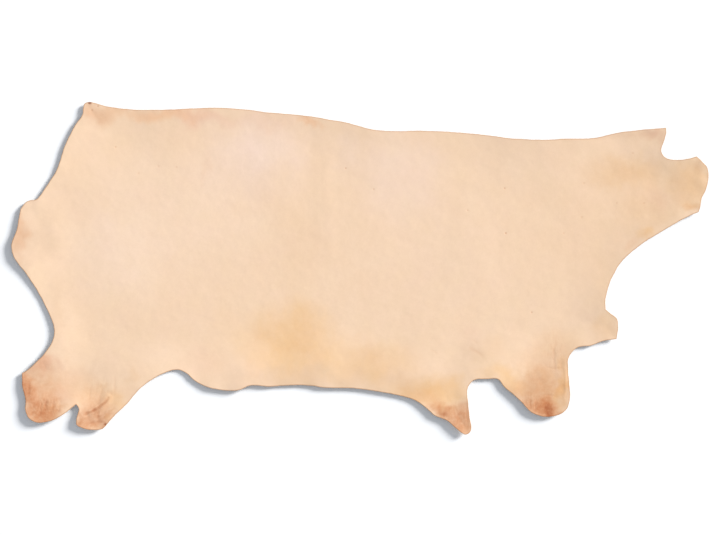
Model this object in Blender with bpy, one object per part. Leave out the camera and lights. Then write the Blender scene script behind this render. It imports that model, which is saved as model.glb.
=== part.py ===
"""A whole side of natural vegetable-tanned cattle leather, lying grain side up on the ground.

The side is one sheet, cut along the backbone and round the neck, shanks, belly and butt.
Metres, +Z up. +X runs along the back towards the head and +Y across it towards the backbone.
The origin is on the ground, under the middle of the side.
"""
from typing import NamedTuple

import bmesh
import bpy
import numpy as np
from mathutils import Vector
from mathutils.geometry import delaunay_2d_cdt

# The sheet
SHEET_THICKNESS = 0.003

# The rim, which has dried a little away from the ground all round
RIM_RISE = 0.004
RIM_REACH = 0.14

# Spacing of the mesh points: along the cut edge, over the field, and along and across a crease
EDGE_STEP = 0.022
FIELD_PITCH = 0.045
EDGE_CLEARANCE = 0.018
CREASE_STEP = 0.026
CREASE_ROWS = (-0.5, -0.25, 0.0, 0.25, 0.5)
CREASE_CLEARANCE = 0.020

# The finish of the grain side
LEATHER_COLOUR = (0.90, 0.65, 0.46, 1.0)
LEATHER_ROUGHNESS = 0.62

CORNER = True


class Mark(NamedTuple):
    """A place on the cut edge. The edge runs smoothly through it, or turns sharply at a corner."""

    along: float
    across: float
    corner: bool = False


class Lift(NamedTuple):
    """A soft rise of the rim: its middle, how far it reaches, and its height there."""

    place: str
    along: float
    across: float
    reach: float
    rise: float


class Crease(NamedTuple):
    """A low soft ridge that bends once on its way from one end to the other."""

    place: str
    start: tuple
    bend: tuple
    end: tuple
    width: float
    rise: float


# The cut edge, from the corner of the neck round by the backbone, butt, belly and throat
BACKBONE = (
    Mark(1.069, 0.491, CORNER),
    Mark(0.968, 0.482),
    Mark(0.912, 0.476),
    Mark(0.814, 0.455),
    Mark(0.713, 0.453),
    Mark(0.650, 0.449),
    Mark(0.545, 0.453),
    Mark(0.394, 0.471),
    Mark(0.212, 0.481),
    Mark(0.114, 0.479),
    Mark(0.041, 0.486),
    Mark(-0.045, 0.509),
    Mark(-0.103, 0.519),
    Mark(-0.185, 0.533),
    Mark(-0.330, 0.546),
    Mark(-0.386, 0.554),
    Mark(-0.505, 0.561),
    Mark(-0.698, 0.554),
    Mark(-0.803, 0.556),
    Mark(-0.880, 0.565),
    Mark(-0.943, 0.581),
)
RUMP = (
    Mark(-0.960, 0.577),
    Mark(-0.967, 0.562),
    Mark(-0.969, 0.538),
    Mark(-0.994, 0.501),
    Mark(-1.030, 0.431),
    Mark(-1.060, 0.343),
    Mark(-1.093, 0.291),
    Mark(-1.130, 0.242),
    Mark(-1.151, 0.238),
    Mark(-1.169, 0.229),
    Mark(-1.186, 0.206, CORNER),
)
HIND_LEG_BACK = (
    Mark(-1.192, 0.172),
    Mark(-1.199, 0.133),
    Mark(-1.217, 0.080),
    Mark(-1.208, 0.039),
    Mark(-1.163, -0.024),
    Mark(-1.109, -0.112),
    Mark(-1.068, -0.213),
    Mark(-1.074, -0.252),
    Mark(-1.094, -0.287),
    Mark(-1.127, -0.324),
    Mark(-1.166, -0.359),
    Mark(-1.184, -0.373, CORNER),
)
HIND_SHANK_REAR_FLAP = (
    Mark(-1.179, -0.409),
    Mark(-1.167, -0.462),
    Mark(-1.168, -0.495),
    Mark(-1.156, -0.522),
    Mark(-1.127, -0.538),
    Mark(-1.083, -0.533),
    Mark(-1.048, -0.518),
    Mark(-1.013, -0.494),
    Mark(-0.992, -0.478, CORNER),
)
HIND_SHANK_FRONT_FLAP = (
    Mark(-0.982, -0.490),
    Mark(-0.990, -0.528),
    Mark(-0.988, -0.547),
    Mark(-0.964, -0.559),
    Mark(-0.930, -0.564),
    Mark(-0.897, -0.560),
    Mark(-0.881, -0.548),
    Mark(-0.871, -0.530),
    Mark(-0.855, -0.512),
    Mark(-0.810, -0.469),
    Mark(-0.775, -0.427),
    Mark(-0.733, -0.393),
    Mark(-0.680, -0.364),
)
FLANK_AND_BELLY = (
    Mark(-0.638, -0.354),
    Mark(-0.607, -0.366),
    Mark(-0.579, -0.391),
    Mark(-0.530, -0.416),
    Mark(-0.453, -0.427),
    Mark(-0.418, -0.424),
    Mark(-0.386, -0.410),
    Mark(-0.313, -0.413),
    Mark(-0.260, -0.409),
    Mark(-0.169, -0.410),
    Mark(-0.134, -0.416),
    Mark(-0.015, -0.420),
    Mark(0.149, -0.447),
    Mark(0.198, -0.464),
    Mark(0.247, -0.501),
)
FORE_SHANK_REAR_FLAP = (
    Mark(0.261, -0.514),
    Mark(0.307, -0.533),
    Mark(0.342, -0.564),
    Mark(0.367, -0.580),
    Mark(0.383, -0.573),
    Mark(0.389, -0.558),
    Mark(0.383, -0.522),
    Mark(0.378, -0.469),
    Mark(0.374, -0.430),
    Mark(0.382, -0.407),
    Mark(0.401, -0.390),
    Mark(0.440, -0.387),
    Mark(0.483, -0.386, CORNER),
)
FORE_SHANK_FRONT_FLAP = (
    Mark(0.503, -0.413),
    Mark(0.534, -0.439),
    Mark(0.566, -0.469),
    Mark(0.596, -0.501),
    Mark(0.629, -0.515),
    Mark(0.664, -0.518),
    Mark(0.702, -0.507),
    Mark(0.724, -0.487),
    Mark(0.733, -0.448),
    Mark(0.730, -0.392),
    Mark(0.727, -0.346),
    Mark(0.728, -0.318),
    Mark(0.738, -0.298),
    Mark(0.760, -0.277),
)
BRISKET_TAB = (
    Mark(0.807, -0.270),
    Mark(0.842, -0.256),
    Mark(0.896, -0.246, CORNER),
    Mark(0.902, -0.203),
    Mark(0.898, -0.177),
    Mark(0.874, -0.157),
    Mark(0.858, -0.144, CORNER),
)
THROAT = (
    Mark(0.858, -0.112),
    Mark(0.868, -0.066),
    Mark(0.889, -0.017),
    Mark(0.919, 0.029),
    Mark(0.958, 0.064),
    Mark(1.000, 0.096),
    Mark(1.052, 0.127),
    Mark(1.105, 0.159),
    Mark(1.154, 0.185),
    Mark(1.183, 0.197, CORNER),
)
CHEEK = (
    Mark(1.189, 0.217),
    Mark(1.193, 0.242),
    Mark(1.207, 0.273),
    Mark(1.217, 0.315),
    Mark(1.213, 0.352),
    Mark(1.194, 0.373),
    Mark(1.176, 0.391, CORNER),
)
NAPE_NOTCH = (
    Mark(1.150, 0.383),
    Mark(1.108, 0.379),
    Mark(1.071, 0.385),
    Mark(1.056, 0.401),
    Mark(1.053, 0.419),
    Mark(1.062, 0.443),
    Mark(1.070, 0.473),
)
CUT_EDGE = (
    BACKBONE
    + RUMP
    + HIND_LEG_BACK
    + HIND_SHANK_REAR_FLAP
    + HIND_SHANK_FRONT_FLAP
    + FLANK_AND_BELLY
    + FORE_SHANK_REAR_FLAP
    + FORE_SHANK_FRONT_FLAP
    + BRISKET_TAB
    + THROAT
    + CHEEK
    + NAPE_NOTCH
)

# Where the rim stands higher: little along the firm back, more at the loose belly and shanks
LIFTS = (
    Lift("tail root", -0.98, 0.60, 0.22, 0.005),
    Lift("backbone over the loin", -0.58, 0.59, 0.28, 0.002),
    Lift("backbone behind the shoulder", 0.06, 0.51, 0.26, 0.003),
    Lift("backbone at the neck", 0.66, 0.48, 0.28, 0.004),
    Lift("neck corner", 1.10, 0.52, 0.24, 0.006),
    Lift("cheek", 1.25, 0.29, 0.26, 0.008),
    Lift("throat", 1.03, 0.08, 0.24, 0.004),
    Lift("brisket tab", 0.93, -0.22, 0.24, 0.006),
    Lift("front of the fore shank", 0.78, -0.42, 0.22, 0.005),
    Lift("front flap of the fore shank", 0.66, -0.55, 0.25, 0.009),
    Lift("bay of the fore shank", 0.50, -0.38, 0.20, 0.005),
    Lift("rear flap of the fore shank", 0.39, -0.61, 0.25, 0.010),
    Lift("belly at the elbow", 0.18, -0.48, 0.24, 0.005),
    Lift("middle of the belly", -0.10, -0.44, 0.26, 0.006),
    Lift("belly at the flank", -0.44, -0.46, 0.26, 0.008),
    Lift("front of the hind shank", -0.76, -0.44, 0.22, 0.005),
    Lift("front flap of the hind shank", -0.94, -0.60, 0.24, 0.009),
    Lift("rear flap of the hind shank", -1.15, -0.55, 0.26, 0.010),
    Lift("hock", -1.14, -0.28, 0.22, 0.006),
    Lift("butt", -1.24, 0.09, 0.28, 0.008),
    Lift("rump", -1.04, 0.38, 0.24, 0.004),
)

# The lines that show on the grain side from a step away
CREASES = (
    Crease("front flap of the hind shank", (-0.934, -0.504), (-0.900, -0.478), (-0.872, -0.440), 0.028, 0.004),
    Crease("old fold across the back", (-0.120, 0.500), (-0.130, 0.270), (-0.118, 0.050), 0.072, 0.0014),
)


def clear_scene():
    """Remove every object from the scene."""
    for thing in list(bpy.data.objects):
        bpy.data.objects.remove(thing, do_unlink=True)


def span_points(before, start, end, after, count):
    """Points from start up to, but not at, end, on the centripetal curve through all four."""
    lead_in = np.sqrt(np.linalg.norm(start - before))
    middle = np.sqrt(np.linalg.norm(end - start))
    lead_out = np.sqrt(np.linalg.norm(after - end))
    leaving = (start - before) / lead_in - (end - before) / (lead_in + middle) + (end - start) / middle
    arriving = (end - start) / middle - (after - start) / (middle + lead_out) + (after - end) / lead_out
    share = np.arange(count)[:, None] / count
    ease = share * share * (3.0 - 2.0 * share)
    lean_out = share * (1.0 - share) ** 2 * middle
    lean_in = -share * share * (1.0 - share) * middle
    return start + ease * (end - start) + lean_out * leaving + lean_in * arriving


def cut_edge_points(marks, step):
    """The closed cut edge as points about a step apart, with one on every mark."""
    places = [np.array((mark.along, mark.across)) for mark in marks]
    count = len(marks)
    spans = []
    for number, mark in enumerate(marks):
        start = places[number]
        end = places[(number + 1) % count]
        before = 2.0 * start - end if mark.corner else places[number - 1]
        after = 2.0 * end - start if marks[(number + 1) % count].corner else places[(number + 2) % count]
        pieces = max(1, round(float(np.linalg.norm(end - start)) / step))
        spans.append(span_points(before, start, end, after, pieces))
    return np.concatenate(spans)


def distance_to_line(points, line, closed):
    """How far each point lies from a line of straight pieces."""
    starts = line if closed else line[:-1]
    ends = np.roll(line, -1, axis=0) if closed else line[1:]
    runs = ends - starts
    offsets = points[:, None, :] - starts[None, :, :]
    share = np.clip((offsets * runs).sum(axis=2) / (runs * runs).sum(axis=1), 0.0, 1.0)
    return np.linalg.norm(offsets - share[:, :, None] * runs, axis=2).min(axis=1)


def inside_edge(points, edge):
    """Which of the points lie within the cut edge."""
    starts = edge[None, :, :]
    ends = np.roll(edge, -1, axis=0)[None, :, :]
    along = points[:, 0, None]
    across = points[:, 1, None]
    spans = (starts[..., 1] > across) != (ends[..., 1] > across)
    rise = np.where(spans, ends[..., 1] - starts[..., 1], 1.0)
    crossing = starts[..., 0] + (across - starts[..., 1]) * (ends[..., 0] - starts[..., 0]) / rise
    return (spans & (along < crossing)).sum(axis=1) % 2 == 1


def crease_line(crease, count):
    """The crest of a crease as points, on one smooth bend through its middle mark."""
    share = np.linspace(0.0, 1.0, count)[:, None]
    start, bend, end = (np.array(place) for place in (crease.start, crease.bend, crease.end))
    pull = 2.0 * bend - 0.5 * (start + end)
    return (1.0 - share) ** 2 * start + 2.0 * share * (1.0 - share) * pull + share ** 2 * end


def fade(share):
    """One at nought and nothing from one on, level at both ends."""
    return (1.0 - np.clip(share, 0.0, 1.0) ** 2) ** 2


def sheet_heights(points, edge):
    """The height of the underside above the ground at each point."""
    to_edge = np.clip(distance_to_line(points, edge, closed=True) / RIM_REACH, 0.0, 1.0)
    heights = RIM_RISE * (1.0 - to_edge) ** 2
    for lift in LIFTS:
        away = np.linalg.norm(points - np.array((lift.along, lift.across)), axis=1)
        heights = heights + lift.rise * fade(away / lift.reach)
    for crease in CREASES:
        crest = crease_line(crease, 12)
        away = distance_to_line(points, crest, closed=False)
        heights = heights + crease.rise * fade(2.0 * away / crease.width)
    return heights


def field_points(edge):
    """Mesh points inside the sheet: rows beside each crease, and an even field elsewhere."""
    rows = []
    for crease in CREASES:
        length = np.linalg.norm(np.array(crease.end) - np.array(crease.start))
        crest = crease_line(crease, 1 + round(float(length) / CREASE_STEP))
        run = np.gradient(crest, axis=0)
        side = np.stack((-run[:, 1], run[:, 0]), axis=1) / np.linalg.norm(run, axis=1)[:, None]
        rows.extend(crest + offset * crease.width * side for offset in CREASE_ROWS)
    beside = np.concatenate(rows)
    low = edge.min(axis=0)
    high = edge.max(axis=0)
    row_pitch = FIELD_PITCH * np.sqrt(0.75)
    field = []
    for number, across in enumerate(np.arange(low[1], high[1], row_pitch)):
        shift = 0.5 * FIELD_PITCH * (number % 2)
        along = np.arange(low[0] + shift, high[0], FIELD_PITCH)
        field.append(np.stack((along, np.full_like(along, across)), axis=1))
    field = np.concatenate(field)
    gaps = np.linalg.norm(field[:, None, :] - beside[None, :, :], axis=2).min(axis=1)
    points = np.concatenate((beside, field[gaps > CREASE_CLEARANCE]))
    points = points[inside_edge(points, edge)]
    return points[distance_to_line(points, edge, closed=True) > EDGE_CLEARANCE]


def leather_material():
    """The pale tan of undyed leather."""
    material = bpy.data.materials.new("veg_tan_leather")
    material.use_nodes = True
    shader = material.node_tree.nodes["Principled BSDF"]
    shader.inputs["Base Color"].default_value = LEATHER_COLOUR
    shader.inputs["Roughness"].default_value = LEATHER_ROUGHNESS
    shader.inputs["Metallic"].default_value = 0.0
    return material


def build_side():
    """The whole side as one sheet, its underside meshed first and then given its thickness."""
    edge = cut_edge_points(CUT_EDGE, EDGE_STEP)
    points = np.concatenate((edge, field_points(edge)))
    outline = [list(range(len(edge)))]
    inside_only = 1
    places, _, faces, *_ = delaunay_2d_cdt([Vector(point) for point in points], [], outline, inside_only, 1e-6)
    flat = np.array([tuple(place) for place in places])
    heights = sheet_heights(flat, edge)

    shape = bmesh.new()
    corners = [shape.verts.new((*place, height)) for place, height in zip(flat, heights)]
    for face in faces:
        shape.faces.new([corners[number] for number in face])
    bmesh.ops.recalc_face_normals(shape, faces=shape.faces)
    if sum(face.normal.z for face in shape.faces) < 0.0:
        bmesh.ops.reverse_faces(shape, faces=shape.faces)
    mesh = bpy.data.meshes.new("leather_side")
    shape.to_mesh(mesh)
    shape.free()

    side = bpy.data.objects.new("leather_side", mesh)
    bpy.context.scene.collection.objects.link(side)
    thickness = side.modifiers.new("thickness", "SOLIDIFY")
    thickness.thickness = SHEET_THICKNESS
    thickness.offset = 1.0
    side.data.materials.append(leather_material())
    return side


def main():
    """Clear the scene and build the side."""
    clear_scene()
    build_side()


main()
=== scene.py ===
"""Looks of a whole side of natural vegetable-tanned cattle leather, laid grain side up.

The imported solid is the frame. One sheet of leather replaces it on the same cut edge, lifts and
creases, with its grain side, its flesh side and its trimmed edge, and the loose fibres along it.
Metres, +Z up. +X runs along the back towards the head and +Y across it towards the backbone.
"""
import logging
import math
from dataclasses import dataclass
from enum import Enum

import bpy
import numpy as np
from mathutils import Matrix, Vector
from mathutils.geometry import delaunay_2d_cdt
from mathutils.kdtree import KDTree


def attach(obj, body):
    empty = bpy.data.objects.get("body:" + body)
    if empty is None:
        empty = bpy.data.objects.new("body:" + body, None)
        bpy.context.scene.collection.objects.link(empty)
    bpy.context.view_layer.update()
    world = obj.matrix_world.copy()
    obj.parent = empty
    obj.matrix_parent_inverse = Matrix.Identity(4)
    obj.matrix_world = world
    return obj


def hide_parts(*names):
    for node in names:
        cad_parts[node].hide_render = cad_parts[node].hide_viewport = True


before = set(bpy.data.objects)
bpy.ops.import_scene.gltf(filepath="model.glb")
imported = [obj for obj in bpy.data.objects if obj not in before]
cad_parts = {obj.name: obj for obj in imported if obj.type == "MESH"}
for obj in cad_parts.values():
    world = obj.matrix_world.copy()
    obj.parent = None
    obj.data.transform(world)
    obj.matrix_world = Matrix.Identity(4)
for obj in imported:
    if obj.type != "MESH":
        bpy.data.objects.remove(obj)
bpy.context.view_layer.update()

LOG = logging.getLogger("leather_side")
BODY = "root"
NODE = "leather_side"

MILLIMETRE = 0.001
INSIDE_ONLY = 1
MERGE_DISTANCE = 1e-7
STRAY_LENGTH = 0.024
STRAY_SHIFT = 0.0018

Colour = tuple[float, float, float, float]
Place = tuple[float, float]


class Tone(Enum):
    """The tones on the grain side: most are the tannage's own colours, but the dust tone is partly
    dust and partly painted shading, and the crease tone is painted shade in the creases with the real
    dark marks of healed bites.
    """

    RUSSET = "russet"
    FAWN = "fawn"
    HONEY = "honey"
    OLIVE = "olive"
    BLUSH = "blush"
    UMBER = "umber"
    PALE = "pale"
    LILAC = "lilac"
    # Dust, and painted shading: darker where the sun lights the lifted rims more, lighter (strength
    # below nought) where they slope away from it
    DUST_AND_PAINTED_SHADING = "dust"
    # Painted shade along the creases, together with the real dark marks of healed bites and scratches
    CREASE = "crease"

    @property
    def attribute(self) -> str:
        """The name of the mesh attribute that holds this tone's strength."""
        return f"tone_{self.value}"


class Side(Enum):
    """The faces of the sheet, in the order of its material slots."""

    GRAIN = 0
    FLESH = 1
    EDGE = 2


class Socket(Enum):
    """The kinds of socket that the node groups use."""

    FLOAT = "NodeSocketFloat"
    INTEGER = "NodeSocketInt"
    VECTOR = "NodeSocketVector"
    COLOUR = "NodeSocketColor"
    MATERIAL = "NodeSocketMaterial"
    GEOMETRY = "NodeSocketGeometry"


@dataclass(frozen=True)
class EdgeStretch:
    """One stretch of the cut edge: its marks, and the numbers of those where it turns sharply."""

    place: str
    marks: tuple[Place, ...]
    corners: tuple[int, ...] = ()


@dataclass(frozen=True)
class Lift:
    """A soft rise of the rim: its middle, how far it reaches, and its height there."""

    place: str
    along: float
    across: float
    reach: float
    rise: float


@dataclass(frozen=True)
class Wrinkle:
    """A soft ridge, or a trough where its rise is below nought, that bends once on its way."""

    place: str
    start: Place
    bend: Place
    end: Place
    width: float
    rise: float
    # How much painted shade darkens the crease; on a scratch, its own dark mark
    stain: float = 0.0


@dataclass(frozen=True)
class Patch:
    """A soft-edged oval of one tone: its middle, its reach both ways, its strength and its turn."""

    place: str
    along: float
    across: float
    reach_along: float
    reach_across: float
    strength: float
    turn: float = 0.0


@dataclass(frozen=True)
class Spot:
    """A small healed mark in the grain, such as an insect bite: its middle, radius and depth."""

    along: float
    across: float
    radius: float
    depth: float
    stain: float


@dataclass(frozen=True)
class PleatArea:
    """An oval of fine creases that fan out from a far pivot, one about every spacing."""

    place: str
    along: float
    across: float
    reach_along: float
    reach_across: float
    pivot: Place
    spacing: float
    strength: float


@dataclass(frozen=True)
class FineArea:
    """A round part of the sheet with a finer mesh."""

    along: float
    across: float
    reach: float
    pitch: float


# The cut edge, counter-clockwise from the corner of the neck
CUT_EDGE = (
    EdgeStretch("backbone", (
        (1.069, 0.491), (0.968, 0.482), (0.912, 0.476), (0.814, 0.455), (0.713, 0.453),
        (0.650, 0.449), (0.545, 0.453), (0.394, 0.471), (0.212, 0.481), (0.114, 0.479),
        (0.041, 0.486), (-0.045, 0.509), (-0.103, 0.519), (-0.185, 0.533), (-0.330, 0.546),
        (-0.386, 0.554), (-0.505, 0.561), (-0.698, 0.554), (-0.803, 0.556), (-0.880, 0.565),
        (-0.943, 0.581)), (0,)),
    EdgeStretch("rump", (
        (-0.960, 0.577), (-0.967, 0.562), (-0.969, 0.538), (-0.994, 0.501), (-1.030, 0.431),
        (-1.060, 0.343), (-1.093, 0.291), (-1.130, 0.242), (-1.151, 0.238), (-1.169, 0.229),
        (-1.186, 0.206)), (10,)),
    EdgeStretch("back of the hind leg", (
        (-1.192, 0.172), (-1.199, 0.133), (-1.217, 0.080), (-1.208, 0.039), (-1.163, -0.024),
        (-1.109, -0.112), (-1.068, -0.213), (-1.074, -0.252), (-1.094, -0.287), (-1.127, -0.324),
        (-1.166, -0.358), (-1.180, -0.366)), (11,)),
    EdgeStretch("rear flap of the hind shank", (
        (-1.179, -0.409), (-1.167, -0.462), (-1.168, -0.495), (-1.156, -0.522), (-1.127, -0.538),
        (-1.083, -0.533), (-1.048, -0.518), (-1.013, -0.493), (-0.991, -0.474)), (8,)),
    EdgeStretch("front flap of the hind shank", (
        (-0.982, -0.490), (-0.990, -0.528), (-0.988, -0.547), (-0.964, -0.559), (-0.930, -0.564),
        (-0.899, -0.560), (-0.885, -0.546), (-0.871, -0.530), (-0.855, -0.512), (-0.810, -0.469),
        (-0.775, -0.427), (-0.733, -0.393), (-0.680, -0.364))),
    EdgeStretch("flank and belly", (
        (-0.638, -0.354), (-0.607, -0.366), (-0.579, -0.391), (-0.530, -0.416), (-0.453, -0.427),
        (-0.418, -0.424), (-0.386, -0.410), (-0.313, -0.413), (-0.260, -0.409), (-0.169, -0.410),
        (-0.134, -0.416), (-0.015, -0.420), (0.149, -0.447), (0.198, -0.464), (0.247, -0.501))),
    EdgeStretch("rear flap of the fore shank", (
        (0.261, -0.514), (0.307, -0.533), (0.342, -0.564), (0.367, -0.580), (0.383, -0.573),
        (0.389, -0.558), (0.383, -0.522), (0.378, -0.469), (0.374, -0.430), (0.382, -0.407),
        (0.401, -0.390), (0.440, -0.387), (0.483, -0.388))),
    EdgeStretch("front flap of the fore shank", (
        (0.503, -0.413), (0.534, -0.439), (0.566, -0.469), (0.596, -0.501), (0.629, -0.515),
        (0.664, -0.518), (0.702, -0.507), (0.724, -0.487), (0.733, -0.448), (0.730, -0.392),
        (0.727, -0.346), (0.728, -0.318), (0.738, -0.298), (0.760, -0.277))),
    EdgeStretch("brisket tab", (
        (0.807, -0.270), (0.842, -0.256), (0.896, -0.246), (0.902, -0.203), (0.898, -0.177),
        (0.874, -0.157), (0.858, -0.144)), (2, 6)),
    EdgeStretch("throat", (
        (0.858, -0.112), (0.868, -0.066), (0.889, -0.017), (0.919, 0.029), (0.958, 0.064),
        (1.000, 0.096), (1.052, 0.127), (1.105, 0.159), (1.154, 0.185), (1.183, 0.197)), (9,)),
    EdgeStretch("cheek", (
        (1.189, 0.217), (1.193, 0.242), (1.207, 0.273), (1.217, 0.315), (1.213, 0.352),
        (1.194, 0.373), (1.176, 0.391)), (6,)),
    EdgeStretch("notch behind the cheek", (
        (1.150, 0.383), (1.108, 0.379), (1.071, 0.385), (1.056, 0.401), (1.053, 0.419),
        (1.062, 0.443), (1.070, 0.473))),
)

# Where the rim stands higher: little along the firm back, more at the loose belly and shanks
LIFTS = (
    Lift("tail root", -0.98, 0.60, 0.22, 0.005),
    Lift("backbone over the loin", -0.58, 0.59, 0.28, 0.002),
    Lift("backbone behind the shoulder", 0.06, 0.51, 0.26, 0.003),
    Lift("backbone at the neck", 0.66, 0.48, 0.28, 0.004),
    Lift("neck corner", 1.10, 0.52, 0.24, 0.006),
    Lift("cheek", 1.25, 0.29, 0.26, 0.008),
    Lift("throat", 1.03, 0.08, 0.24, 0.004),
    Lift("brisket tab", 0.93, -0.22, 0.24, 0.006),
    Lift("front of the fore shank", 0.78, -0.42, 0.22, 0.005),
    Lift("front flap of the fore shank", 0.66, -0.55, 0.25, 0.009),
    Lift("bay of the fore shank", 0.50, -0.38, 0.20, 0.005),
    Lift("rear flap of the fore shank", 0.39, -0.61, 0.25, 0.010),
    Lift("belly at the elbow", 0.18, -0.48, 0.24, 0.005),
    Lift("middle of the belly", -0.10, -0.44, 0.26, 0.006),
    Lift("belly at the flank", -0.44, -0.46, 0.26, 0.008),
    Lift("front of the hind shank", -0.76, -0.44, 0.22, 0.005),
    Lift("front flap of the hind shank", -0.94, -0.60, 0.24, 0.009),
    Lift("rear flap of the hind shank", -1.15, -0.55, 0.26, 0.010),
    Lift("hock", -1.14, -0.28, 0.22, 0.006),
    Lift("butt", -1.24, 0.09, 0.28, 0.008),
    Lift("rump", -1.04, 0.38, 0.24, 0.004),
)

# The two creases that bend the whole thickness of the sheet
CREASES = (
    Wrinkle("front flap of the hind shank", (-0.950, -0.510), (-0.905, -0.482), (-0.872, -0.442),
            0.046, 0.0024),
    Wrinkle("old fold across the back", (-0.120, 0.530), (-0.130, 0.270), (-0.118, 0.020),
            0.110, 0.0007),
)

# The creases, ridges and scratches of the grain side alone; the last number of each is painted shade
# laid along a crease, and on a scratch its own dark mark
WRINKLES = (
    Wrinkle("crease of the hind front flap", (-0.876, -0.447), (-0.900, -0.477), (-0.936, -0.498),
            0.014, -0.0011, 0.60),
    Wrinkle("crease towards its back edge", (-0.918, -0.490), (-0.943, -0.502), (-0.968, -0.512),
            0.013, -0.0007, 0.50),
    Wrinkle("fork of the crease", (-0.906, -0.484), (-0.914, -0.507), (-0.909, -0.532),
            0.013, -0.0004, 0.26),
    Wrinkle("lower crease of the flap", (-0.957, -0.546), (-0.925, -0.537), (-0.887, -0.537),
            0.012, -0.0005, 0.26),
    Wrinkle("swell between the two", (-0.964, -0.525), (-0.929, -0.519), (-0.897, -0.507),
            0.016, 0.0006),
    Wrinkle("front edge of the flap", (-0.880, -0.510), (-0.866, -0.493), (-0.852, -0.486),
            0.010, -0.0003, 0.14),
    Wrinkle("hind shank, first line", (-0.911, -0.469), (-0.904, -0.434), (-0.901, -0.406),
            0.012, -0.0003, 0.10),
    Wrinkle("hind shank, second line", (-0.946, -0.462), (-0.944, -0.437), (-0.938, -0.409),
            0.011, -0.0002, 0.08),
    Wrinkle("hind shank, third line", (-0.858, -0.441), (-0.856, -0.413), (-0.858, -0.375),
            0.012, -0.0002, 0.08),
    Wrinkle("hock", (-1.109, -0.322), (-1.101, -0.339), (-1.093, -0.360), 0.012, -0.0003, 0.08),
    Wrinkle("hind rear flap, first line", (-1.149, -0.514), (-1.141, -0.490), (-1.137, -0.469),
            0.011, -0.0003, 0.09),
    Wrinkle("hind rear flap, second line", (-1.120, -0.522), (-1.115, -0.497), (-1.112, -0.469),
            0.011, -0.0003, 0.10),
    Wrinkle("hind rear flap, third line", (-1.101, -0.511), (-1.097, -0.486), (-1.094, -0.460),
            0.012, -0.0004, 0.13),
    Wrinkle("hind rear flap, fourth line", (-1.075, -0.506), (-1.072, -0.482), (-1.068, -0.457),
            0.011, -0.0003, 0.10),
    Wrinkle("hind rear flap, fifth line", (-1.051, -0.500), (-1.047, -0.483), (-1.044, -0.462),
            0.010, -0.0003, 0.12),
    Wrinkle("back edge of the hind rear flap", (-1.158, -0.451), (-1.155, -0.427),
            (-1.155, -0.395), 0.012, -0.0004, 0.22),
    Wrinkle("fore front flap, first line", (0.576, -0.479), (0.578, -0.469), (0.580, -0.458),
            0.009, -0.0003, 0.16),
    Wrinkle("fore front flap, second line", (0.594, -0.499), (0.595, -0.478), (0.597, -0.455),
            0.010, -0.0004, 0.26),
    Wrinkle("fore front flap, third line", (0.612, -0.500), (0.613, -0.476), (0.616, -0.448),
            0.011, -0.0003, 0.14),
    Wrinkle("fore front flap, fourth line", (0.679, -0.357), (0.680, -0.311), (0.677, -0.259),
            0.012, -0.0003, 0.08),
    Wrinkle("fore front flap, fifth line", (0.703, -0.364), (0.704, -0.339), (0.702, -0.301),
            0.012, -0.0002, 0.06),
    Wrinkle("across the fore front flap", (0.646, -0.341), (0.678, -0.349), (0.709, -0.345),
            0.012, -0.0003, 0.08),
    Wrinkle("above its toe", (0.622, -0.446), (0.660, -0.443), (0.694, -0.452),
            0.012, -0.0003, 0.08),
    Wrinkle("front edge of the fore front flap", (0.713, -0.462), (0.718, -0.392),
            (0.713, -0.315), 0.012, 0.0005),
    Wrinkle("scratch above the elbow", (0.380, -0.276), (0.405, -0.290), (0.436, -0.311),
            0.016, -0.0002, 0.10),
    Wrinkle("small scratch above the elbow", (0.391, -0.245), (0.401, -0.255), (0.412, -0.259),
            0.012, -0.0001, 0.06),
    Wrinkle("scratch on the elbow", (0.247, -0.280), (0.258, -0.290), (0.272, -0.304),
            0.012, -0.0001, 0.07),
    Wrinkle("front edge of the fore rear flap", (0.371, -0.455), (0.374, -0.511),
            (0.379, -0.560), 0.012, -0.0003, 0.22),
    Wrinkle("neck, first fold", (0.856, 0.413), (0.884, 0.273), (0.863, 0.112), 0.028, -0.0001),
    Wrinkle("neck, second fold", (0.919, 0.427), (0.951, 0.294), (0.933, 0.126), 0.028, -0.0001),
    Wrinkle("neck, third fold", (0.982, 0.413), (1.017, 0.301), (1.003, 0.161), 0.026, -0.0001),
    Wrinkle("neck, fourth fold", (1.059, 0.357), (1.084, 0.287), (1.073, 0.196), 0.024, -0.0001),
)

# The shanks' finest creases, too many to lay one by one
PLEAT_AREAS = (
    PleatArea("hind rear flap", -1.104, -0.482, 0.096, 0.060, (-1.083, -0.217), 0.0095, 0.85),
    PleatArea("hind shank", -0.897, -0.420, 0.075, 0.065, (-0.873, -0.112), 0.011, 0.35),
    PleatArea("hind front flap", -0.925, -0.508, 0.075, 0.055, (-0.733, -0.287), 0.010, 0.65),
    PleatArea("back edge of the fore front flap", 0.594, -0.469, 0.056, 0.052, (0.650, 0.238),
              0.010, 0.85),
    PleatArea("front edge of the fore front flap", 0.680, -0.301, 0.058, 0.120, (0.650, 0.238),
              0.011, 0.45),
    PleatArea("fore rear flap", 0.324, -0.511, 0.075, 0.070, (0.335, -0.112), 0.010, 0.45),
)

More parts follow.
